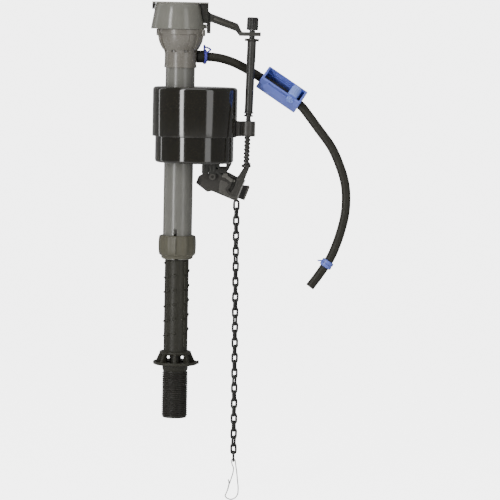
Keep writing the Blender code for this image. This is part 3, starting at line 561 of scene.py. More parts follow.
def show(obj, name, body, material, node=None, sharp=32):
    """Finish a piece: its name, shading, material and body, and the node that it stands for."""
    if obj.type == "CURVE":
        obj.data.name = name
    else:
        if obj.modifiers:
            obj = baked(obj)
        obj.data.shade_smooth()
        obj.data.set_sharp_from_angle(angle=math.radians(sharp))
    obj.name = name
    obj.data.materials.clear()
    obj.data.materials.append(MATERIALS[material])
    node = node or name.removesuffix("_fine")
    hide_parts(node)
    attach(obj, body)
    return obj


def joined_copies(objects):
    """Several separate solids as one mesh object."""
    work = bmesh.new()
    for obj in objects:
        obj = baked(obj)
        work.from_mesh(obj.data)
        bpy.data.objects.remove(obj, do_unlink=True)
    return finished(work, "group")


def sector(profile, start, end, steps=12, rise=0.0):
    """A closed (radius, height) profile in millimetres, swept between two angles and climbing by rise."""
    work = bmesh.new()
    rows = []
    for i in range(steps + 1):
        share = i / steps
        turn = math.radians(start + (end - start) * share)
        rows.append([work.verts.new(metres(r * math.cos(turn), r * math.sin(turn), z + rise * share))
                     for r, z in profile])
    bridge(work, rows)
    work.faces.new(rows[0])
    work.faces.new(list(reversed(rows[-1])))
    return finished(work, "sector", outward=True)


def rippled(obj, count, depth, low, high, inner):
    """Press count flutes of a depth into the side of a turned piece on the Z axis between two heights."""
    for vertex in obj.data.vertices:
        x, y, z = vertex.co
        radius = math.hypot(x, y)
        if radius > inner * MM and low * MM <= z <= high * MM:
            wave = 0.5 - 0.5 * math.cos(count * math.atan2(y, x))
            scale = 1 - depth * MM * wave / radius
            vertex.co = (x * scale, y * scale, z)
    return obj


# ---- shank, tubes and lock ring -----------------------------------------------------------------
SHANK_PITCH = 1.81        # 14 threads an inch
RIDGE_PITCH = 13.6
RIDGE_FIRST = 26.5
RIDGE_TURNS = 6
RIB_COUNT = 8
SHANK_BOTTOM = SHANK_LOW.z / MM
LOWER_TOP = SHANK_HIGH.z / MM
TUBE_BOTTOM = TUBE_LOW.z / MM
TUBE_TOP = TUBE_HIGH.z / MM


def shank():
    """Threaded end, flange with ribbed collar, and the lower tube, in two pieces of different tone."""
    screw = threaded(12.1, 11.0, SHANK_PITCH, SHANK_BOTTOM, -5.72, 96, 12, 0.7)
    neck = turned([(0, 2.4), (18.9, 2.4), (19.5, 2.9), (20.2, 3.1), (20.7, 2.7), (20.8, 1.6), (20.5, 0.6),
                   (19.6, 0.1), (19.0, 0), (12.6, 0), (12.2, -0.5), (11.9, -4.2), (11.4, -5.2), (11.0, -5.7),
                   (0, -5.7)])
    tube = turned([(0, LOWER_TOP), (10.9, LOWER_TOP), (11.2, LOWER_TOP - 0.3), (11.2, 13.3), (11.6, 12.8),
                   (14.0, 12.6), (14.6, 12.2), (14.8, 11.6), (14.7, 11.0), (14.0, 9.6), (13.6, 9.2),
                   (0, 9.2)])
    ribs = []
    for i in range(RIB_COUNT):
        rib = plate(rounded([(12.0, 2.0), (18.6, 2.0), (17.6, 4.6), (14.3, 12.0), (12.0, 12.2)], 0.5),
                    -1.3, 1.3)
        ribs.append(spun(rib, 360 / RIB_COUNT * i))
    body = join(tube, *ribs, neck)
    nub = box((19.9, -0.9, 0.7), (22.1, 0.9, 3.9), 0.35)
    body = join(body, nub, *ridges(), *rail())
    bore, bore_copy = [turned([(0, LOWER_TOP + 1), (9.9, LOWER_TOP + 1), (9.9, 0.9), (7.0, 0.9),
                               (7.0, SHANK_BOTTOM + 0.8), (7.6, SHANK_BOTTOM - 0.2), (7.6, SHANK_BOTTOM - 1),
                               (0, SHANK_BOTTOM - 1)], steps=MEDIUM) for _ in range(2)]
    show(cut(body, bore), "shank_fine", "shank", "shank", "threaded_shank")
    show(cut(screw, bore_copy), "shank_thread_fine", "shank", "thread", "threaded_shank")


def ridges():
    """Broken right-hand helical ridge: segments at the left, front and right of the lower tube."""
    edge = [(10.6, -1.1), (10.6, 1.1), (11.7, 0.75), (12.1, 0.45), (12.1, -0.45), (11.7, -0.75)]
    pieces = []
    for i in range(RIDGE_TURNS):
        for middle, half in ((180, 26), (232, 7), (262, 8), (352, 20)):
            z = RIDGE_FIRST + RIDGE_PITCH * (i + (middle - 180 - half) / 360)
            profile = [(r, z + h) for r, h in edge]
            pieces.append(sector(profile, middle - half, middle + half, 10, RIDGE_PITCH * 2 * half / 360))
    return pieces


def rail():
    """Raised rail down the right front of the lower tube, with a notch at each thread."""
    pieces = []
    for i in range(RIDGE_TURNS):
        low = 17.0 + RIDGE_PITCH * i
        block = box((10.4, -1.7, low), (12.1, 1.7, low + 12.0), 0.5)
        pieces.append(spun(block, -42))
    return pieces


def riser():
    """Inlet pipe inside the lower tube, and the O-ring in its groove."""
    low, high = node_box("riser_pipe")
    z0, z1 = low.z / MM, high.z / MM
    pipe_body = turned([(5.1, z1), (5.4, z1 - 0.3), (5.4, 154.6), (5.2, 154.4), (4.7, 154.4), (4.7, 151.6),
                        (5.2, 151.6), (5.4, 151.4), (5.4, 0.8), (6.4, 0.4), (6.7, 0.1), (6.7, z0 + 0.3),
                        (6.4, z0), (5.4, z0), (3.8, -14), (3.8, z1 - 0.3), (4.1, z1)], True, MEDIUM)
    show(pipe_body, "riser_pipe_fine", "shank", "shank")
    seal = turned([(5.5, 153.9), (5.9, 153.7), (6.0, 153.0), (5.9, 152.3), (5.5, 152.1), (5.0, 152.3),
                   (5.0, 153.7)], True, MEDIUM)
    show(seal, "riser_seal_fine", "shank", "seal")


def lock_ring():
    """Barrel nut with broad flats, a dark front seam and a narrower lip at its foot."""
    barrel = turned([(15.6, 120.6), (16.6, 120.2), (17.1, 118.8), (17.4, 116.0), (17.5, 112.6),
                     (17.45, 108.4), (17.15, 104.8), (16.7, 102.9), (16.1, 102.1), (15.1, 101.8),
                     (14.8, 101.3), (14.7, 99.9), (14.4, 99.4), (13.9, 99.3), (13.8, 99.6), (13.8, 120.3),
                     (14.1, 120.6)], True, 144)
    rippled(barrel, 12, 0.7, 102.0, 120.3, 15.5)
    seam = box((-1.1, -18.5, 103.4), (-0.1, -16.2, 121.5), 0.05)
    show(cut(barrel, seam), "lock_ring_fine", "lock_ring", "ring")


def upper_tube():
    """Smooth tube with a keyhole slot above the lock ring, a notch at its foot, two flats and a hose port."""
    rings = [TUBE_BOTTOM, 100.6, 118.8, 127.4, 166.0, 168.4, 262.4, 283.0, TUBE_TOP]
    body = turned([(13.5, z) for z in reversed(rings)] + [(12.4, z) for z in rings], True, FINE)
    slot = join(box((-3.5, -20, 119.4), (-0.4, -10, 125.4), 0.2),
                bar((-1.95, -20, 125.2), (-1.95, -10, 125.2), 1.55))
    notch = box((-1.6, -20, TUBE_BOTTOM - 1), (1.6, -10, TUBE_BOTTOM + 1.3), 0.2)
    catch = box((13.0, -2.6, 168.8), (15.0, 2.6, 262.0), 0.1)
    low_catch = box((13.2, -2.0, 166.4), (15.0, 2.0, 168.0), 0.1)
    port = spun(bar((8, 0, 286), (24, 0, 286), 1.7), 12)
    show(cut(body, slot, notch, catch, low_catch, port), "upper_tube_fine", "valve_body", "tube")


# ---- head, cap and what is under it -------------------------------------------------------------
LEVER_PIVOT = (22.9, 326.0)
CUP_OUTSIDE = [(21.9, 310.6), (21.9, 306.4), (21.1, 305.6), (20.4, 302.2), (19.6, 299.0), (18.2, 296.0),
               (16.2, 292.6), (15.3, 291.2), (14.9, 290.0)]


def head():
    """Cup under the cap with lugs, raised panels and slots, and the nipple that the hose leaves from."""
    cup = turned([(21.6, 310.88), *CUP_OUTSIDE, (14.6, 288.4), (14.6, 279.0), (14.9, 277.8), (14.9, 275.8),
                  (14.7, 275.5), (14.0, 275.5), (13.8, 275.8), (13.8, 287.3), (12.4, 287.5), (12.4, 291.0),
                  (18.2, 300.6), (20.2, 305.4), (20.4, 310.6), (20.7, 310.88)], True)
    slots = []
    for i in range(8):
        slot = box((12.8, -2.6, 289.5), (17.6, 2.6, 291.6), 0.3)
        slots.append(spun(slot, 22.5 + 45 * i))
    lugs = [spun(box((20.6, -2.6, 304.8), (23.3, 2.6, 310.8), 0.6), angle) for angle in (-20, -158, 90)]
    panels = []
    for start, end in ((-160, -146), (-66, -56), (-44, -34), (20, 34), (100, 116)):
        side = CUP_OUTSIDE[1:7]
        panel = [(r + 1.3, z) for r, z in side] + [(r - 0.6, z) for r, z in reversed(side)]
        panels.append(sector(panel, start, end, 10))
    nipple = spun(bar((14.0, 0, 286), (23.0, 0, 286), 2.9, edge=0.4), 12)
    barb = spun(bar((18.6, 0, 286), (20.4, 0, 286), 3.05, end_radius=2.6), 12)
    bore = spun(bar((8.0, 0, 286), (24.0, 0, 286), 1.7), 12)
    body = join(cup, *lugs, *panels, nipple, barb)
    show(cut(body, *slots, bore), "valve_head_fine", "valve_body", "head")


def water_works():
    """Hidden parts of the valve: water riser, seat, diaphragm seal and bleed pin."""
    riser_body = pipe(7.6, 6.3, 102.0, 300.4, MEDIUM)
    show(riser_body, "water_riser_fine", "valve_body", "tube")
    seat = turned([(4.0, 306.2), (4.5, 305.9), (5.2, 304.2), (5.5, 304.0), (17.1, 304.0), (17.4, 303.7),
                   (17.4, 301.3), (17.1, 301.0), (7.4, 300.7), (3.6, 300.7), (3.6, 305.9)], True, MEDIUM)
    holes = [spun(bar((12.4, 0, 299), (12.4, 0, 305), 2.2), 60 * i) for i in range(6)]
    show(cut(seat, *holes), "valve_seat_fine", "valve_body", "natural")
    seal = turned([(18.2, 310.8), (19.3, 310.7), (19.6, 310.3), (19.6, 307.1), (19.3, 306.8), (17.6, 306.8),
                   (9.0, 306.6), (0.9, 306.6), (0.9, 310.0), (9.0, 310.0), (12.0, 309.4), (15.0, 308.6),
                   (16.8, 309.2)], True, MEDIUM)
    show(seal, "diaphragm_seal_fine", "valve_body", "seal")
    pin = turned([(0, 313.0), (0.45, 313.0), (0.6, 312.8), (0.6, 302.8), (0.35, 302.5), (0, 302.5)],
                 steps=SMALL)
    show(pin, "bleed_pin_fine", "valve_body", "steel")


def cap():
    """Light cone over the valve, with a stop tab at its foot."""
    shell = turned([(0, 334.8), (19.6, 334.8), (20.2, 334.6), (20.6, 334.0), (22.6, 323.1), (24.6, 312.2),
                    (24.7, 311.4), (24.4, 310.9), (21.6, 310.9), (21.2, 311.2), (18.6, 332.6), (0, 332.6)],
                   at=(-3.0, 0.0))
    tab = box((19.0, -3.0, 311.8), (23.55, 3.0, 315.8), 0.25)
    bore = turned([(0, 331.5), (18.4, 331.5), (20.0, 310.0), (0, 310.0)], at=(-3.0, 0.0))
    show(cut(join(shell, tab), bore), "cap_fine", "valve_body", "cap", sharp=25)


def lever_yoke():
    """Cheeks that hold the lever's pin, a side lug, and the thin strap over the cap that joins them."""
    cheeks = []
    for low, high in ((-5.6, -3.1), (3.1, 5.6)):
        cheeks.append(plate([(17.5, 334.7), (17.5, 333.9), (19.15, 325.0), (20.5, 317.4), (20.65, 316.6),
                             (24.2, 316.6), (25.0, 317.6), (25.0, 334.7)], low, high, bevel=0.2))
    back = box((23.4, -4.0, 329.6), (25.0, 4.0, 334.6), 0.2)
    lug = plate([(-26.8, 334.7), (-26.8, 329.0), (-24.75, 329.0), (-23.85, 333.8), (-23.75, 334.7)],
                -4.0, 4.0, bevel=0.2)
    pin_x, pin_z = LEVER_PIVOT
    hole = bar((pin_x, -9, pin_z), (pin_x, 9, pin_z), 1.05)
    frame_pieces = [cut(join(*cheeks, back), hole), lug]
    show(joined_copies(frame_pieces), "lever_yoke_fine", "valve_body", "black")
    strap = box((-26.6, -11.0, 334.85), (25.2, 11.0, 335.9), 0.3)
    show(strap, "yoke_strap_fine", "valve_body", "strap", "lever_yoke")
    pin = bar((pin_x, -6.2, pin_z), (pin_x, 6.2, pin_z), 1.0, edge=0.2)
    head_ring = bar((pin_x, -6.3, pin_z), (pin_x, -5.7, pin_z), 1.7, edge=0.25)
    show(join(pin, head_ring), "lever_pin_fine", "valve_body", "black")


# ---- lever and rod ------------------------------------------------------------------------------
def lever():
    """Arm with a sunk channel, a peg that points down by the cap's edge, and a fork that holds the rod."""
    outline = [*arc(LEVER_PIVOT, 3.0, 50, 230, 14), (23.7, 321.5), (23.7, 307.5), (27.3, 307.5),
               (27.3, 318.0), (50.4, 310.1), (54.1, 305.8), (57.0, 305.9), (57.0, 308.9), (55.6, 310.6),
               (52.4, 317.0), (27.4, 325.9)]
    arm = plate(rounded(outline, 0.6, 3), -2.7, 2.7, [arc(LEVER_PIVOT, 1.25, 0, 345, 24)], 0.35)
    recess = [plate(rounded([(29.4, 323.0), (50.2, 315.3), (49.4, 312.6), (29.2, 319.6)], 0.7), *span)
              for span in ((-4.0, -1.2), (1.2, 4.0))]
    fork = box((53.4, -6.3, 305.7), (73.7, 6.3, 309.4), 0.6)
    slot = join(box((60.2, -3.2, 304), (76, 3.2, 311), 0.05), bar((60.8, 0, 304), (60.8, 0, 311), 3.2))
    show(join(cut(arm, *recess), cut(fork, slot)), "cap_lever_fine", "lever", "rod")
    floor = plate(rounded([(29.5, 322.9), (50.1, 315.2), (49.3, 312.7), (29.3, 319.7)], 0.7),
                  -1.75, -1.25, bevel=0.05)
    show(floor, "lever_channel_fine", "lever", "lever", "cap_lever")


ROD_PITCH = 3.56
ROD_X = 64.2
ROD_MID_Z = 251.0
ROD_LEAN = math.radians(1.46)


def lean(obj):
    """From the Z axis onto the rod's leaning axis."""
    middle = Vector((ROD_X, 0, ROD_MID_Z)) * MM
    return spread(obj, Matrix.Translation(middle) @ Matrix.Rotation(ROD_LEAN, 4, "Y")
                  @ Matrix.Translation((0, 0, -ROD_MID_Z * MM)))


def rod():
    """Fluted knob over a leaning shank, a screw at its lower end and a collar at its foot."""
    knob = turned([(0, 323.2), (3.9, 323.2), (4.6, 322.9), (5.1, 322.2),
                   *[(5.3, 321.6 - 0.8 * i) for i in range(13)], (5.1, 311.6), (4.6, 311.2), (0, 311.2)],
                  steps=144)
    rippled(knob, 16, 0.35, 311.5, 322.5, 4.8)
    groove = box((0.5, -6, 317.2), (2.1, -4.3, 322.3), 0.2)
    shank_body = turned([(0, 311.15), (2.7, 311.15), (2.7, 301.2), (3.8, 301.2), (4.1, 300.8), (4.1, 282.3),
                         (4.05, 282.0), (3.9, 281.0), (3.8, 236.4), (3.6, 236.1), (4.2, 235.9), (4.3, 235.6),
                         (4.3, 234.8), (4.1, 234.5), (3.1, 234.3), (3.0, 234.0), (3.0, 233.3), (3.2, 233.1),
                         (4.1, 233.0), (4.3, 232.7), (4.3, 232.0), (4.1, 231.7), (2.4, 231.5), (2.15, 231.2),
                         (2.15, 229.0), (0, 229.0)], steps=MEDIUM)
    screw = threaded(2.95, 2.1, ROD_PITCH, 186.0, 230.2, 48, 16, 0.45)
    collar = turned([(0, 187.8), (2.2, 187.8), (3.2, 187.4), (4.3, 186.7), (4.4, 186.3), (4.4, 185.5),
                     (4.2, 185.1), (3.6, 184.6), (3.2, 184.5), (0, 184.5)], steps=MEDIUM)
    show(lean(cut(knob, groove)), "rod_knob_fine", "rod", "chain", "adjusting_rod", sharp=28)
    body = join(shank_body, screw, collar)
    show(lean(body), "adjusting_rod_fine", "rod", "rod", sharp=28)


def retainer():
    """Collar with two wings that sits on the rod under the fork."""
    collar = turned([(3.9, 303.5), (4.2, 303.2), (4.2, 301.9), (3.9, 301.6), (3.2, 301.6), (3.0, 301.8),
                     (3.0, 303.3), (3.2, 303.5)], True, MEDIUM)
    wings = box((-6.6, -1.7, 301.0), (6.6, 1.7, 303.4), 0.15)
    hole = bar((0, 0, 298), (0, 0, 306), 3.0)
    show(lean(cut(join(collar, wings), hole)), "rod_retainer_fine", "rod_carrier", "black")


# ---- float --------------------------------------------------------------------------------------
FLOAT_X = 14.2


def float_shells():
    """Two nested glossy shells with rounded rims, round a sleeve that rides on the tube."""
    top, step, bottom = CUP_HIGH.z / MM, CUP_LOW.z / MM, BASE_LOW.z / MM
    crown = [(36.1 + 3.0 * math.sin(math.radians(a)), top - 3.0 + 3.0 * math.cos(math.radians(a)))
             for a in range(0, 91, 10)]
    cup = turned([(0, top), *crown, (39.1, step + 0.8), (38.9, step + 0.2), (38.5, step), (37.6, step),
                  (37.3, step + 0.3), (37.3, top - 3.4), (36.4, top - 2.0), (35.6, top - 1.8),
                  (0, top - 1.8)], at=(FLOAT_X, 0), steps=192)
    heel = [(33.6 + 2.7 * math.cos(math.radians(a)), bottom + 2.7 - 2.7 * math.sin(math.radians(a)))
            for a in range(0, 91, 10)]
    base = turned([(0, bottom + 1.8), (33.6, bottom + 1.8), (34.3, bottom + 2.6), (34.5, bottom + 3.4),
                   (34.5, 245.7), (34.8, 246), (36.0, 246), (36.3, 245.7), *heel, (0, bottom)],
                  at=(FLOAT_X, 0), steps=192)
    for shell, name in ((cup, "float_cup"), (base, "float_base")):
        hole = bar((0, 0, 180), (0, 0, 270), 16.9, FINE)
        show(cut(shell, hole), name + "_fine", "float", "float")
    show(pipe(16.6, 14.6, 188.4, 257.6), "float_sleeve_fine", "float", "float")


def rod_clip():
    """Bracket on the float's side, ending in the nut barrel that runs on the rod."""
    barrel = lean(bar((0, 0, 213.4), (0, 0, 227.2), 6.5, MEDIUM, edge=0.5))
    arm = box((48.0, -4.2, 213.4), (60.0, 4.2, 227.2), 0.4)
    pad = box((46.0, -9.0, 213.4), (55.6, 9.0, 227.2), 0.5)
    nose = box((61.5, -4.0, 213.4), (70.2, 4.0, 227.2), 0.6)
    window = box((55.9, -6.0, 215.4), (57.3, -3.4, 226.4), 0.2)
    bore = lean(bar((0, 0, 210), (0, 0, 230), 3.35, MEDIUM))
    clear = spread(bar((0, 0, 210), (0, 0, 230), 39.4, 192), Matrix.Translation((FLOAT_X * MM, 0, 0)))
    body = cut(join(barrel, arm, pad, nose), window, bore, clear)
    show(body, "rod_clip_fine", "float", "clip")


# ---- lock arm -----------------------------------------------------------------------------------
ARM_PIVOT = tuple(v / MM for v in (JOINTS["arm_release"]["pos_m"][0], JOINTS["arm_release"]["pos_m"][2]))


def lock_bracket():
    """Front legs under the float, a back leg and their spacer; a tongue, the stop's beam and the pin."""
    pin_x, pin_z = ARM_PIVOT
    left_leg = plate(rounded([(21.4, 188.0), (21.4, 178.4), (22.4, 177.6), (27.2, 177.6), (27.8, 178.4),
                              (27.8, 188.0)], 0.4), 1.8, 4.9)
    middle_leg = plate([(28.5, 187.95), (28.5, 178.2), *arc(ARM_PIVOT, 3.6, 152, 388, 22), (34.6, 180.6),
                        (34.6, 187.95)], 1.7, 4.95)
    top_bar = box((21.6, 2.6, 184.2), (38.2, 4.8, 187.9), 0.2)
    gusset = box((26.6, 3.2, 178.8), (29.6, 4.6, 186.0), 0.2)
    right_leg = plate([(38.0, 185.0), (37.9, 181.6), (45.9, 181.2), (49.3, 187.97), (43.9, 187.97),
                       (43.9, 185.0)], 1.75, 4.85, bevel=0.2)
    window_side = box((36.2, 1.9, 181.4), (38.1, 4.7, 187.8), 0.2)
    columns = [box(*ends, 0.3) for ends in (((22.5, 1.0, 178.6), (24.3, 2.2, 187.6)),
                                            ((28.7, 0.9, 180.0), (30.2, 2.2, 187.6)),
                                            ((32.0, 0.95, 180.4), (33.4, 2.2, 187.6)))]
    diagonal = plate([(34.2, 181.6), (35.2, 178.4), (39.4, 175.6), (40.4, 176.8), (37.4, 181.0),
                      (37.2, 182.6)], 1.5, 4.75)
    back = plate([(28.0, 187.9), *arc(ARM_PIVOT, 3.6, 165, 372, 22), (37.4, 180.6), (37.4, 187.9)],
                 8.5, 10.5)
    spacer = box((28.4, 4.0, 182.6), (37.2, 9.4, 187.85), 0.3)
    hole = bar((pin_x, 0, pin_z), (pin_x, 12, pin_z), 1.9)
    body = join(middle_leg, left_leg, top_bar, gusset, right_leg, window_side, diagonal, spacer, back,
                *columns)
    show(cut(body, hole), "lock_bracket_fine", "float", "bracket")
    tongue = plate(rounded([(36.9, 182.2), (38.3, 184.2), (44.8, 183.9), (45.9, 181.8), (44.3, 179.2),
                            (39.2, 178.6), (37.6, 180.1)], 1.2), 0.6, 1.7)
    show(tongue, "bracket_tongue_fine", "float", "black", "lock_bracket")
    beam = plate(rounded([(40.1, 176.6), (41.5, 178.7), (45.3, 178.3), (45.9, 176.2), (50.2, 173.2),
                          (50.4, 170.9), (48.6, 170.7), (45.9, 172.3), (43.4, 174.4), (40.4, 174.9)], 0.4),
                 2.9, 4.62)
    finger = bar((51.6, 4.0, 171.7), (51.6, 6.9, 171.7), 1.0, edge=0.2)
    show(join(beam, finger), "bracket_beam_fine", "float", "beam", "lock_bracket")
    edge = plate(rounded([(45.6, 179.6), (48.3, 178.5), (53.4, 175.9), (53.9, 174.6), (52.3, 174.3),
                          (48.3, 176.3), (46.3, 177.8)], 0.4), 3.0, 4.8)
    show(edge, "bracket_edge_fine", "float", "black", "lock_bracket")
    pin = bar((pin_x, 0.9, pin_z), (pin_x, 11.0, pin_z), 1.6, edge=0.3)
    head_ring = bar((pin_x, 0.8, pin_z), (pin_x, 1.65, pin_z), 2.9, edge=0.3)
    dimple = bar((pin_x, 0, pin_z), (pin_x, 1.4, pin_z), 1.5)
    show(cut(join(pin, head_ring), dimple), "arm_pin_fine", "float", "step")
    centre = bar((pin_x, 1.35, pin_z), (pin_x, 1.6, pin_z), 1.3)
    show(centre, "pin_centre_fine", "float", "black", "arm_pin")


def lock_arm():
    """Plate with a nose, an arc slot backed by a black web that is painted shade, a raised blade at its
    right, and the weight behind.
    """
    outline = [(34.8, 180.0), (28.0, 178.4), (22.6, 178.0), (18.4, 175.2), (16.05, 168.9), (26.8, 160.8),
               (30.9, 161.8), (51.4, 153.6), (55.3, 153.7), (58.9, 166.3), (65.2, 183.0), (66.9, 188.6),
               (63.6, 188.0), (59.4, 182.9), (55.4, 176.4), (54.2, 175.4), (47.0, 179.2), (43.6, 180.4)]
    slot = [*arc(ARM_PIVOT, 22.5, -40, -2, 16), *arc(ARM_PIVOT, 19.0, -2, -40, 16)]
    holes = [slot, arc(ARM_PIVOT, 1.9, 0, 345, 24)]
    body = plate(rounded(outline, 1.0), 5.4, 7.7, holes)
    blade = plate(rounded([(52.4, 154.6), (55.0, 154.3), (58.6, 166.4), (64.9, 183.1), (66.5, 188.3),
                           (63.8, 187.8), (59.7, 182.8), (55.9, 176.2), (54.9, 168.0)], 0.8), 5.0, 7.8)
    step = plate(rounded([(37.4, 160.6), (50.6, 155.0), (52.0, 156.6), (46.4, 159.0), (43.6, 164.0),
                          (46.6, 168.4), (45.0, 170.4), (39.4, 172.4), (38.0, 170.0)], 0.8),
                 4.7, 5.38, bevel=0.15)
    tip = plate([(46.0, 155.8), (51.4, 153.6), (55.3, 153.7), (56.2, 157.4), (48.0, 159.6)], 5.05, 7.6)
    link_pocket = box((49.2, 5.52, 148), (60.4, 9.0, 156.4))
    show(cut(join(body, blade, tip), link_pocket), "lock_arm_fine", "lock_arm", "arm")
    show(step, "arm_step_fine", "lock_arm", "step", "lock_arm")
    # Pale strip down the blade's right edge: a painted highlight where the edge catches the light.
    blade_highlight = plate([(54.0, 154.4), (55.2, 154.2), (59.7, 166.3), (62.2, 172.6), (61.1, 172.6),
                        (58.5, 166.6)], 4.7, 5.5, bevel=0.1)
    show(blade_highlight, "arm_edge_fine", "lock_arm", "edge_highlight", "lock_arm")
    # Black web behind the arc slot: painted shade, a dark sheet where the slot shows only shadow.
    web = plate([*arc(ARM_PIVOT, 23.6, -42, 0, 12), *arc(ARM_PIVOT, 17.9, 0, -42, 12)], 7.72, 8.3, bevel=0.1)
    show(web, "arm_web_fine", "lock_arm", "black", "lock_arm")
    weight = plate(rounded([(58.5, 166.8), (59.4, 167.6), (63.4, 167.5), (64.6, 166.2), (60.4, 154.0),
                            (55.0, 155.8)], 0.8), 5.0, 11.4, bevel=0.3)
    # Lighter rim down the weight's right side in the pale step plastic: a painted highlight on the dark
    # weight's lit side.
    rim = plate([(63.2, 167.4), (65.3, 167.4), (66.2, 165.8), (61.6, 153.8), (60.0, 154.2), (64.4, 166.0)],
                4.8, 11.2, bevel=0.3)
    show(weight, "arm_weight_fine", "lock_arm", "weight")
    show(rim, "weight_rim_fine", "lock_arm", "step", "arm_weight")


# ---- chain and hook -----------------------------------------------------------------------------
LINK_COUNT = 34
LINK_LENGTH = 11.3 * MM
LINK_WIDTH = 6.6 * MM
LINK_WIRE_R = 1.12 * MM
CHAIN_TOP = 154.4 * MM
CHAIN_END = -92.2 * MM


def link_mesh(matrix, work):
    """Add one closed oval link of round wire."""
    bend = LINK_WIDTH / 2 - LINK_WIRE_R
    straight = LINK_LENGTH / 2 - LINK_WIDTH / 2
    centre_line = []
    for side, start in ((1, 0), (-1, 180)):
        for i in range(9):
            turn = math.radians(start + 22.5 * i)
            centre_line.append((Vector((bend * math.cos(turn), 0, side * straight + bend * math.sin(turn))),
                                Vector((math.cos(turn), 0, math.sin(turn)))))
    rings = []
    for here, outward in centre_line:
        ring = []
        for k in range(WIRE_SIDES):
            turn = 2 * math.pi * k / WIRE_SIDES
            offset = (outward * math.cos(turn) + Vector((0, 1, 0)) * math.sin(turn)) * LINK_WIRE_R
            ring.append(work.verts.new(matrix @ (here + offset)))
        rings.append(ring)
    bridge(work, rings, wrap=True)


def chain():
    """Closed oval links, each turned about 50 degrees from its neighbours, hanging from the arm's tip."""
    x = (CHAIN_LOW.x + CHAIN_HIGH.x) / 2
    y = (CHAIN_LOW.y + CHAIN_HIGH.y) / 2
    top = Vector((x - 0.0009, y, CHAIN_TOP - LINK_LENGTH / 2))
    bottom = Vector((x + 0.0009, y, CHAIN_END + LINK_LENGTH / 2))
    work = bmesh.new()
    for i in range(LINK_COUNT):
        here = top.lerp(bottom, i / (LINK_COUNT - 1))
        twist = math.radians(12 + 50 * (i % 2) + 4.0 * math.sin(2.4 * i))
        if i == LINK_COUNT - 1:
            twist = math.radians(90)
        tilt = Matrix.Rotation(math.radians(1.6 * math.sin(1.7 * i)), 4, "Y")
        link_mesh(Matrix.Translation(here) @ tilt @ Matrix.Rotation(twist, 4, "Z"), work)
    links = show(finished(work, "links", outward=True), "chain_links", "chain", "chain", "chain", sharp=60)
    end = bottom - UP * (LINK_LENGTH / 2)
    hook_piece = hook(end)


def hook(top):
    """Bright wire hook: a bend through the last link, a long pear-shaped loop, and two ends that overlap."""
    eye = [(-1.85 * math.cos(math.radians(a)), 0, LINK_WIRE_R / MM + 1.85 * math.sin(math.radians(a)))
           for a in range(0, 181, 20)]
    line = [(-4.6, 0.75, -26.0), (-3.4, 0.75, -20.9), (-1.7, 0.5, -15.6), (-0.2, 0, -10.3), (0.3, 0, -5.6),
            (-0.9, 0, -2.6), *eye, (2.1, 0, -1.0), (2.7, 0, -5.0), (3.5, 0, -10.3), (4.3, 0, -17.6),
            (5.0, 0, -24.2), (4.8, 0, -29.6), (4.0, 0, -31.6), (2.0, 0, -33.9), (-1.0, 0, -35.2),
            (-3.3, 0, -35.0), (-5.6, 0, -33.9), (-7.0, 0, -31.9), (-6.0, -0.2, -29.2), (-4.9, -0.7, -26.0),
            (-3.9, -0.75, -21.5), (-3.7, -0.6, -19.0), (-4.4, -0.3, -16.3)]
    points = smooth_path([top + Vector(p) * MM for p in line], 170)
    return show(wire(points, 0.55 * MM, "chain_hook_fine", 5), "chain_hook_fine", "hook", "steel")


# ---- refill hose --------------------------------------------------------------------------------
NIPPLE_TURN = math.radians(12.0)
HOSE_R = 4.15 * MM
HOSE_ROUTE = [Vector(p) * MM for p in (
    (31.0, 6.4, 285.6), (40.0, 8.6, 284.0), (49.7, 10.8, 280.8), (59.3, 12.6, 276.2), (68.4, 13.4, 271.2),
    (76.0, 13.6, 266.6), (85.0, 13.3, 261.0), (94.0, 13.0, 255.2), (103.0, 12.4, 249.0), (109.6, 12.0, 244.2),
    (115.0, 11.2, 239.2),
    (128.8, 9.0, 221.3), (141.6, 7.0, 204.1), (150.1, 5.4, 185.5), (154.5, 4.4, 170.7),
    (155.8, 3.6, 155.8), (154.7, 3.0, 140.8), (151.2, 2.4, 125.8), (147.1, 2.0, 113.2), (142.4, 1.6, 102.0),
    (136.6, 1.2, 92.8), (130.3, 0.8, 83.6), (123.8, 0.4, 74.8))]


def along_nipple(radius):
    """A point on the nipple's axis, in millimetres from the tube's axis."""
    return Vector((radius * math.cos(NIPPLE_TURN), radius * math.sin(NIPPLE_TURN), 286.0))


def hose_tube(path, radius, bore, depth):
    """A tube along a path whose far end is open: the bore goes in by a depth."""
    work = bmesh.new()
    side = Vector((0, 1, 0))
    rings = []

    def ring_at(here, way, size):
        across = way.cross(side).normalized()
        other = way.cross(across).normalized()
        return [work.verts.new(here + (across * math.cos(2 * math.pi * k / HOSE_SIDES)
                                       + other * math.sin(2 * math.pi * k / HOSE_SIDES)) * size)
                for k in range(HOSE_SIDES)]

    ways = [(path[min(i + 1, len(path) - 1)] - path[max(i - 1, 0)]).normalized() for i in range(len(path))]
    for here, way in zip(path, ways):
        rings.append(ring_at(here, way, radius))
    end, way = path[-1], ways[-1]
    rings.append(ring_at(end + way * 0.0002, way, radius - 0.0003))
    rings.append(ring_at(end + way * 0.0002, way, bore + 0.0002))
    rings.append(ring_at(end, way, bore))
    rings.append(ring_at(end - way * depth, way, bore))
    bridge(work, rings)
    work.faces.new(rings[0])
    work.faces.new(rings[-1])
    return finished(work, "hose", outward=True)


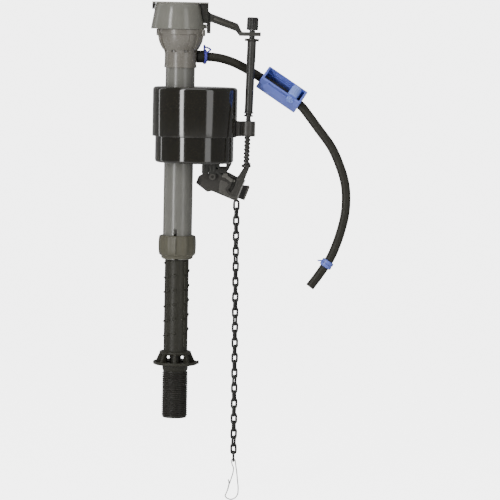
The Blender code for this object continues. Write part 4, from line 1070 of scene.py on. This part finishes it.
def hose():
    """Refill hose on its route, with the cuff, the two bands and the roller clamp on it."""
    start = along_nipple(24.4) * MM
    path = smooth_path([start, *HOSE_ROUTE], 220)
    tube = show(hose_tube(path, HOSE_R, 2.3 * MM, 9 * MM), "refill_hose_fine", "valve_body", "hose")
    cuff = bar(along_nipple(15.2), along_nipple(24.1), 5.8, MEDIUM, edge=0.4)
    bore = bar(along_nipple(14.0), along_nipple(26.0), 3.2)
    around = bar((0, 0, 270), (0, 0, 300), 15.0, FINE)
    cuff = show(cut(cuff, bore, around), "hose_cuff_fine", "valve_body", "seal")
    pieces = [cuff, inlet_band(), outlet_band(path), *roller_clamp()]


def inlet_band():
    """Blue spring band round the cuff, with one upright ear and one looped ear."""
    ring = bar(along_nipple(21.5), along_nipple(24.0), 6.9, MEDIUM, edge=0.5)
    hole = bar(along_nipple(14.0), along_nipple(26.0), 5.85, MEDIUM)
    ear = along_nipple(22.4)
    tab = box((ear.x - 1.1, ear.y - 1.7, ear.z + 6.1), (ear.x + 0.8, ear.y + 1.7, ear.z + 11.0), 0.5)
    loop_line = [Vector((ear.x + x, ear.y + y, ear.z + z)) * MM
                 for x, y, z in ((0.4, 0.0, 8.9), (2.2, -0.6, 8.5), (4.4, -1.6, 7.6), (5.6, -2.6, 6.7),
                                 (4.6, -4.0, 5.4), (3.0, -5.2, 4.3), (1.2, -5.9, 3.6))]
    loop = baked(wire(smooth_path(loop_line, 40), 0.85 * MM, "loop", 3))
    tab = cut(tab, bar(along_nipple(14), along_nipple(30), 6.2, MEDIUM))
    band = joined_copies([cut(ring, hole), tab, loop])
    return show(band, "inlet_clamp_fine", "valve_body", "band")


def outlet_band(path):
    """Blue band near the hose's free end, with a thin tail."""
    low, high = node_box("outlet_clamp")
    aim = (low + high) / 2 + Vector((2.2, 0, 0.4)) * MM
    start = min(range(len(path)), key=lambda i: (path[i] - aim).length)
    middle = path[start] / MM
    way = (path[start + 3] - path[start - 3]).normalized()
    ring = bar(middle - way * 3.4, middle + way * 3.4, 5.8, MEDIUM, edge=0.7)
    groove = bar(middle - way * 0.5, middle + way * 0.5, 7.0, MEDIUM)
    core = bar(middle - way * 9, middle + way * 9, 5.35, MEDIUM)
    hole = bar(middle - way * 9, middle + way * 9, 4.3, MEDIUM)
    ring = cut(ring, cut(groove, core))
    tail = box(middle + Vector((-8.6, -1.1, 2.4)), middle + Vector((-3.2, 1.1, 3.7)), 0.5)
    return show(cut(join(ring, tail), hole), "outlet_clamp_fine", "valve_body", "clamp")


CLAMP_AXIS = Vector(JOINTS["roller_slide"]["axis"]).normalized()
CLAMP_TURN = math.radians(36.0)


def clamp_frame():
    """X along the hose, Y towards the front wall, Z out of the channel's open side."""
    centre = Vector((93.4, 13.0, 255.8)) * MM
    up = Vector((-CLAMP_AXIS.z, 0.0, CLAMP_AXIS.x))
    out = up * math.sin(CLAMP_TURN) + Vector((0, -math.cos(CLAMP_TURN), 0))
    out = (out - CLAMP_AXIS * out.dot(CLAMP_AXIS)).normalized()
    turn = Matrix((CLAMP_AXIS, out.cross(CLAMP_AXIS), out)).transposed().to_4x4()
    return Matrix.Translation(centre) @ turn


def roller_clamp():
    """Channel with slots for the axle, ledges, a lip and a ramp, and the fluted roller with its grip."""
    place = clamp_frame()
    channel = box((-21.5, -8.0, -7.0), (21.5, 8.0, 11.6), 0.9)
    inside = box((-19.3, -6.3, -4.9), (19.3, 6.3, 14.0), 0.5)
    bore = bar((-23, 0, 0), (23, 0, 0), 5.25, MEDIUM)
    back_slot = box((-13.5, 5.0, 7.9), (13.5, 7.5, 11.0), 0.5)
    front_slot = box((-13.5, -9.0, 8.1), (13.5, -5.0, 10.8), 0.5)
    body = cut(channel, inside, bore, back_slot, front_slot)
    ledges = [box((-19.6, side * 6.6 - 0.9, 3.0), (19.6, side * 6.6 + 0.9, 4.4), 0.3) for side in (-1, 1)]
    lip = box((-14.6, -8.35, 7.0), (14.6, -7.7, 8.3), 0.25)
    ramp = box((-19.6, -6.6, -5.2), (-6.0, 6.6, -4.3), 0.2)
    body = join(body, *ledges, lip, ramp)
    channel_piece = show(spread(body, place), "roller_clamp_fine", "valve_body", "clamp", sharp=12)
    wheel = turned([(0, 5.9), (3.9, 5.9), (4.5, 5.6), (4.9, 5.1), *[(4.9, 4.4 - 0.8 * i) for i in range(12)],
                    (4.9, -5.1), (4.5, -5.6), (3.9, -5.9), (0, -5.9)], steps=192)
    rippled(wheel, 16, 0.3, -5.95, 5.95, 3.6)
    grip = turned([(0, 10.9), (3.0, 10.9), (3.6, 10.6), (3.8, 10.1), (3.8, 9.3), (3.8, 8.9), (3.5, 8.45),
                   (3.0, 8.35), (0, 8.35)], steps=144)
    rippled(grip, 9, 0.7, 8.3, 10.95, 2.9)
    spokes = [spun(box((1.3, -0.38, 9.9), (4.6, 0.38, 12.0), 0.1), 40 * i) for i in range(9)]
    grip = cut(grip, *spokes)
    hub = turned([(0, 8.8), (1.2, 8.8), (1.2, 6.0), (2.6, 5.9), (2.6, -5.9), (1.2, -6.0), (1.2, -7.2),
                  (1.0, -7.4), (0, -7.4)], steps=SMALL)
    wheel = spread(join(wheel, hub, grip), Matrix.Rotation(math.radians(90), 4, "X"))
    wheel = spread(wheel, Matrix.Translation(Vector((11.5, 0, 9.45)) * MM))
    wheel_piece = show(spread(wheel, place), "clamp_roller_fine", "roller", "roller")
    return [channel_piece, wheel_piece]


camera()
studio()
chain()
hose()
shank()
riser()
lock_ring()
upper_tube()
head()
water_works()
cap()
lever_yoke()
lever()
rod()
retainer()
float_shells()
rod_clip()
lock_bracket()
lock_arm()
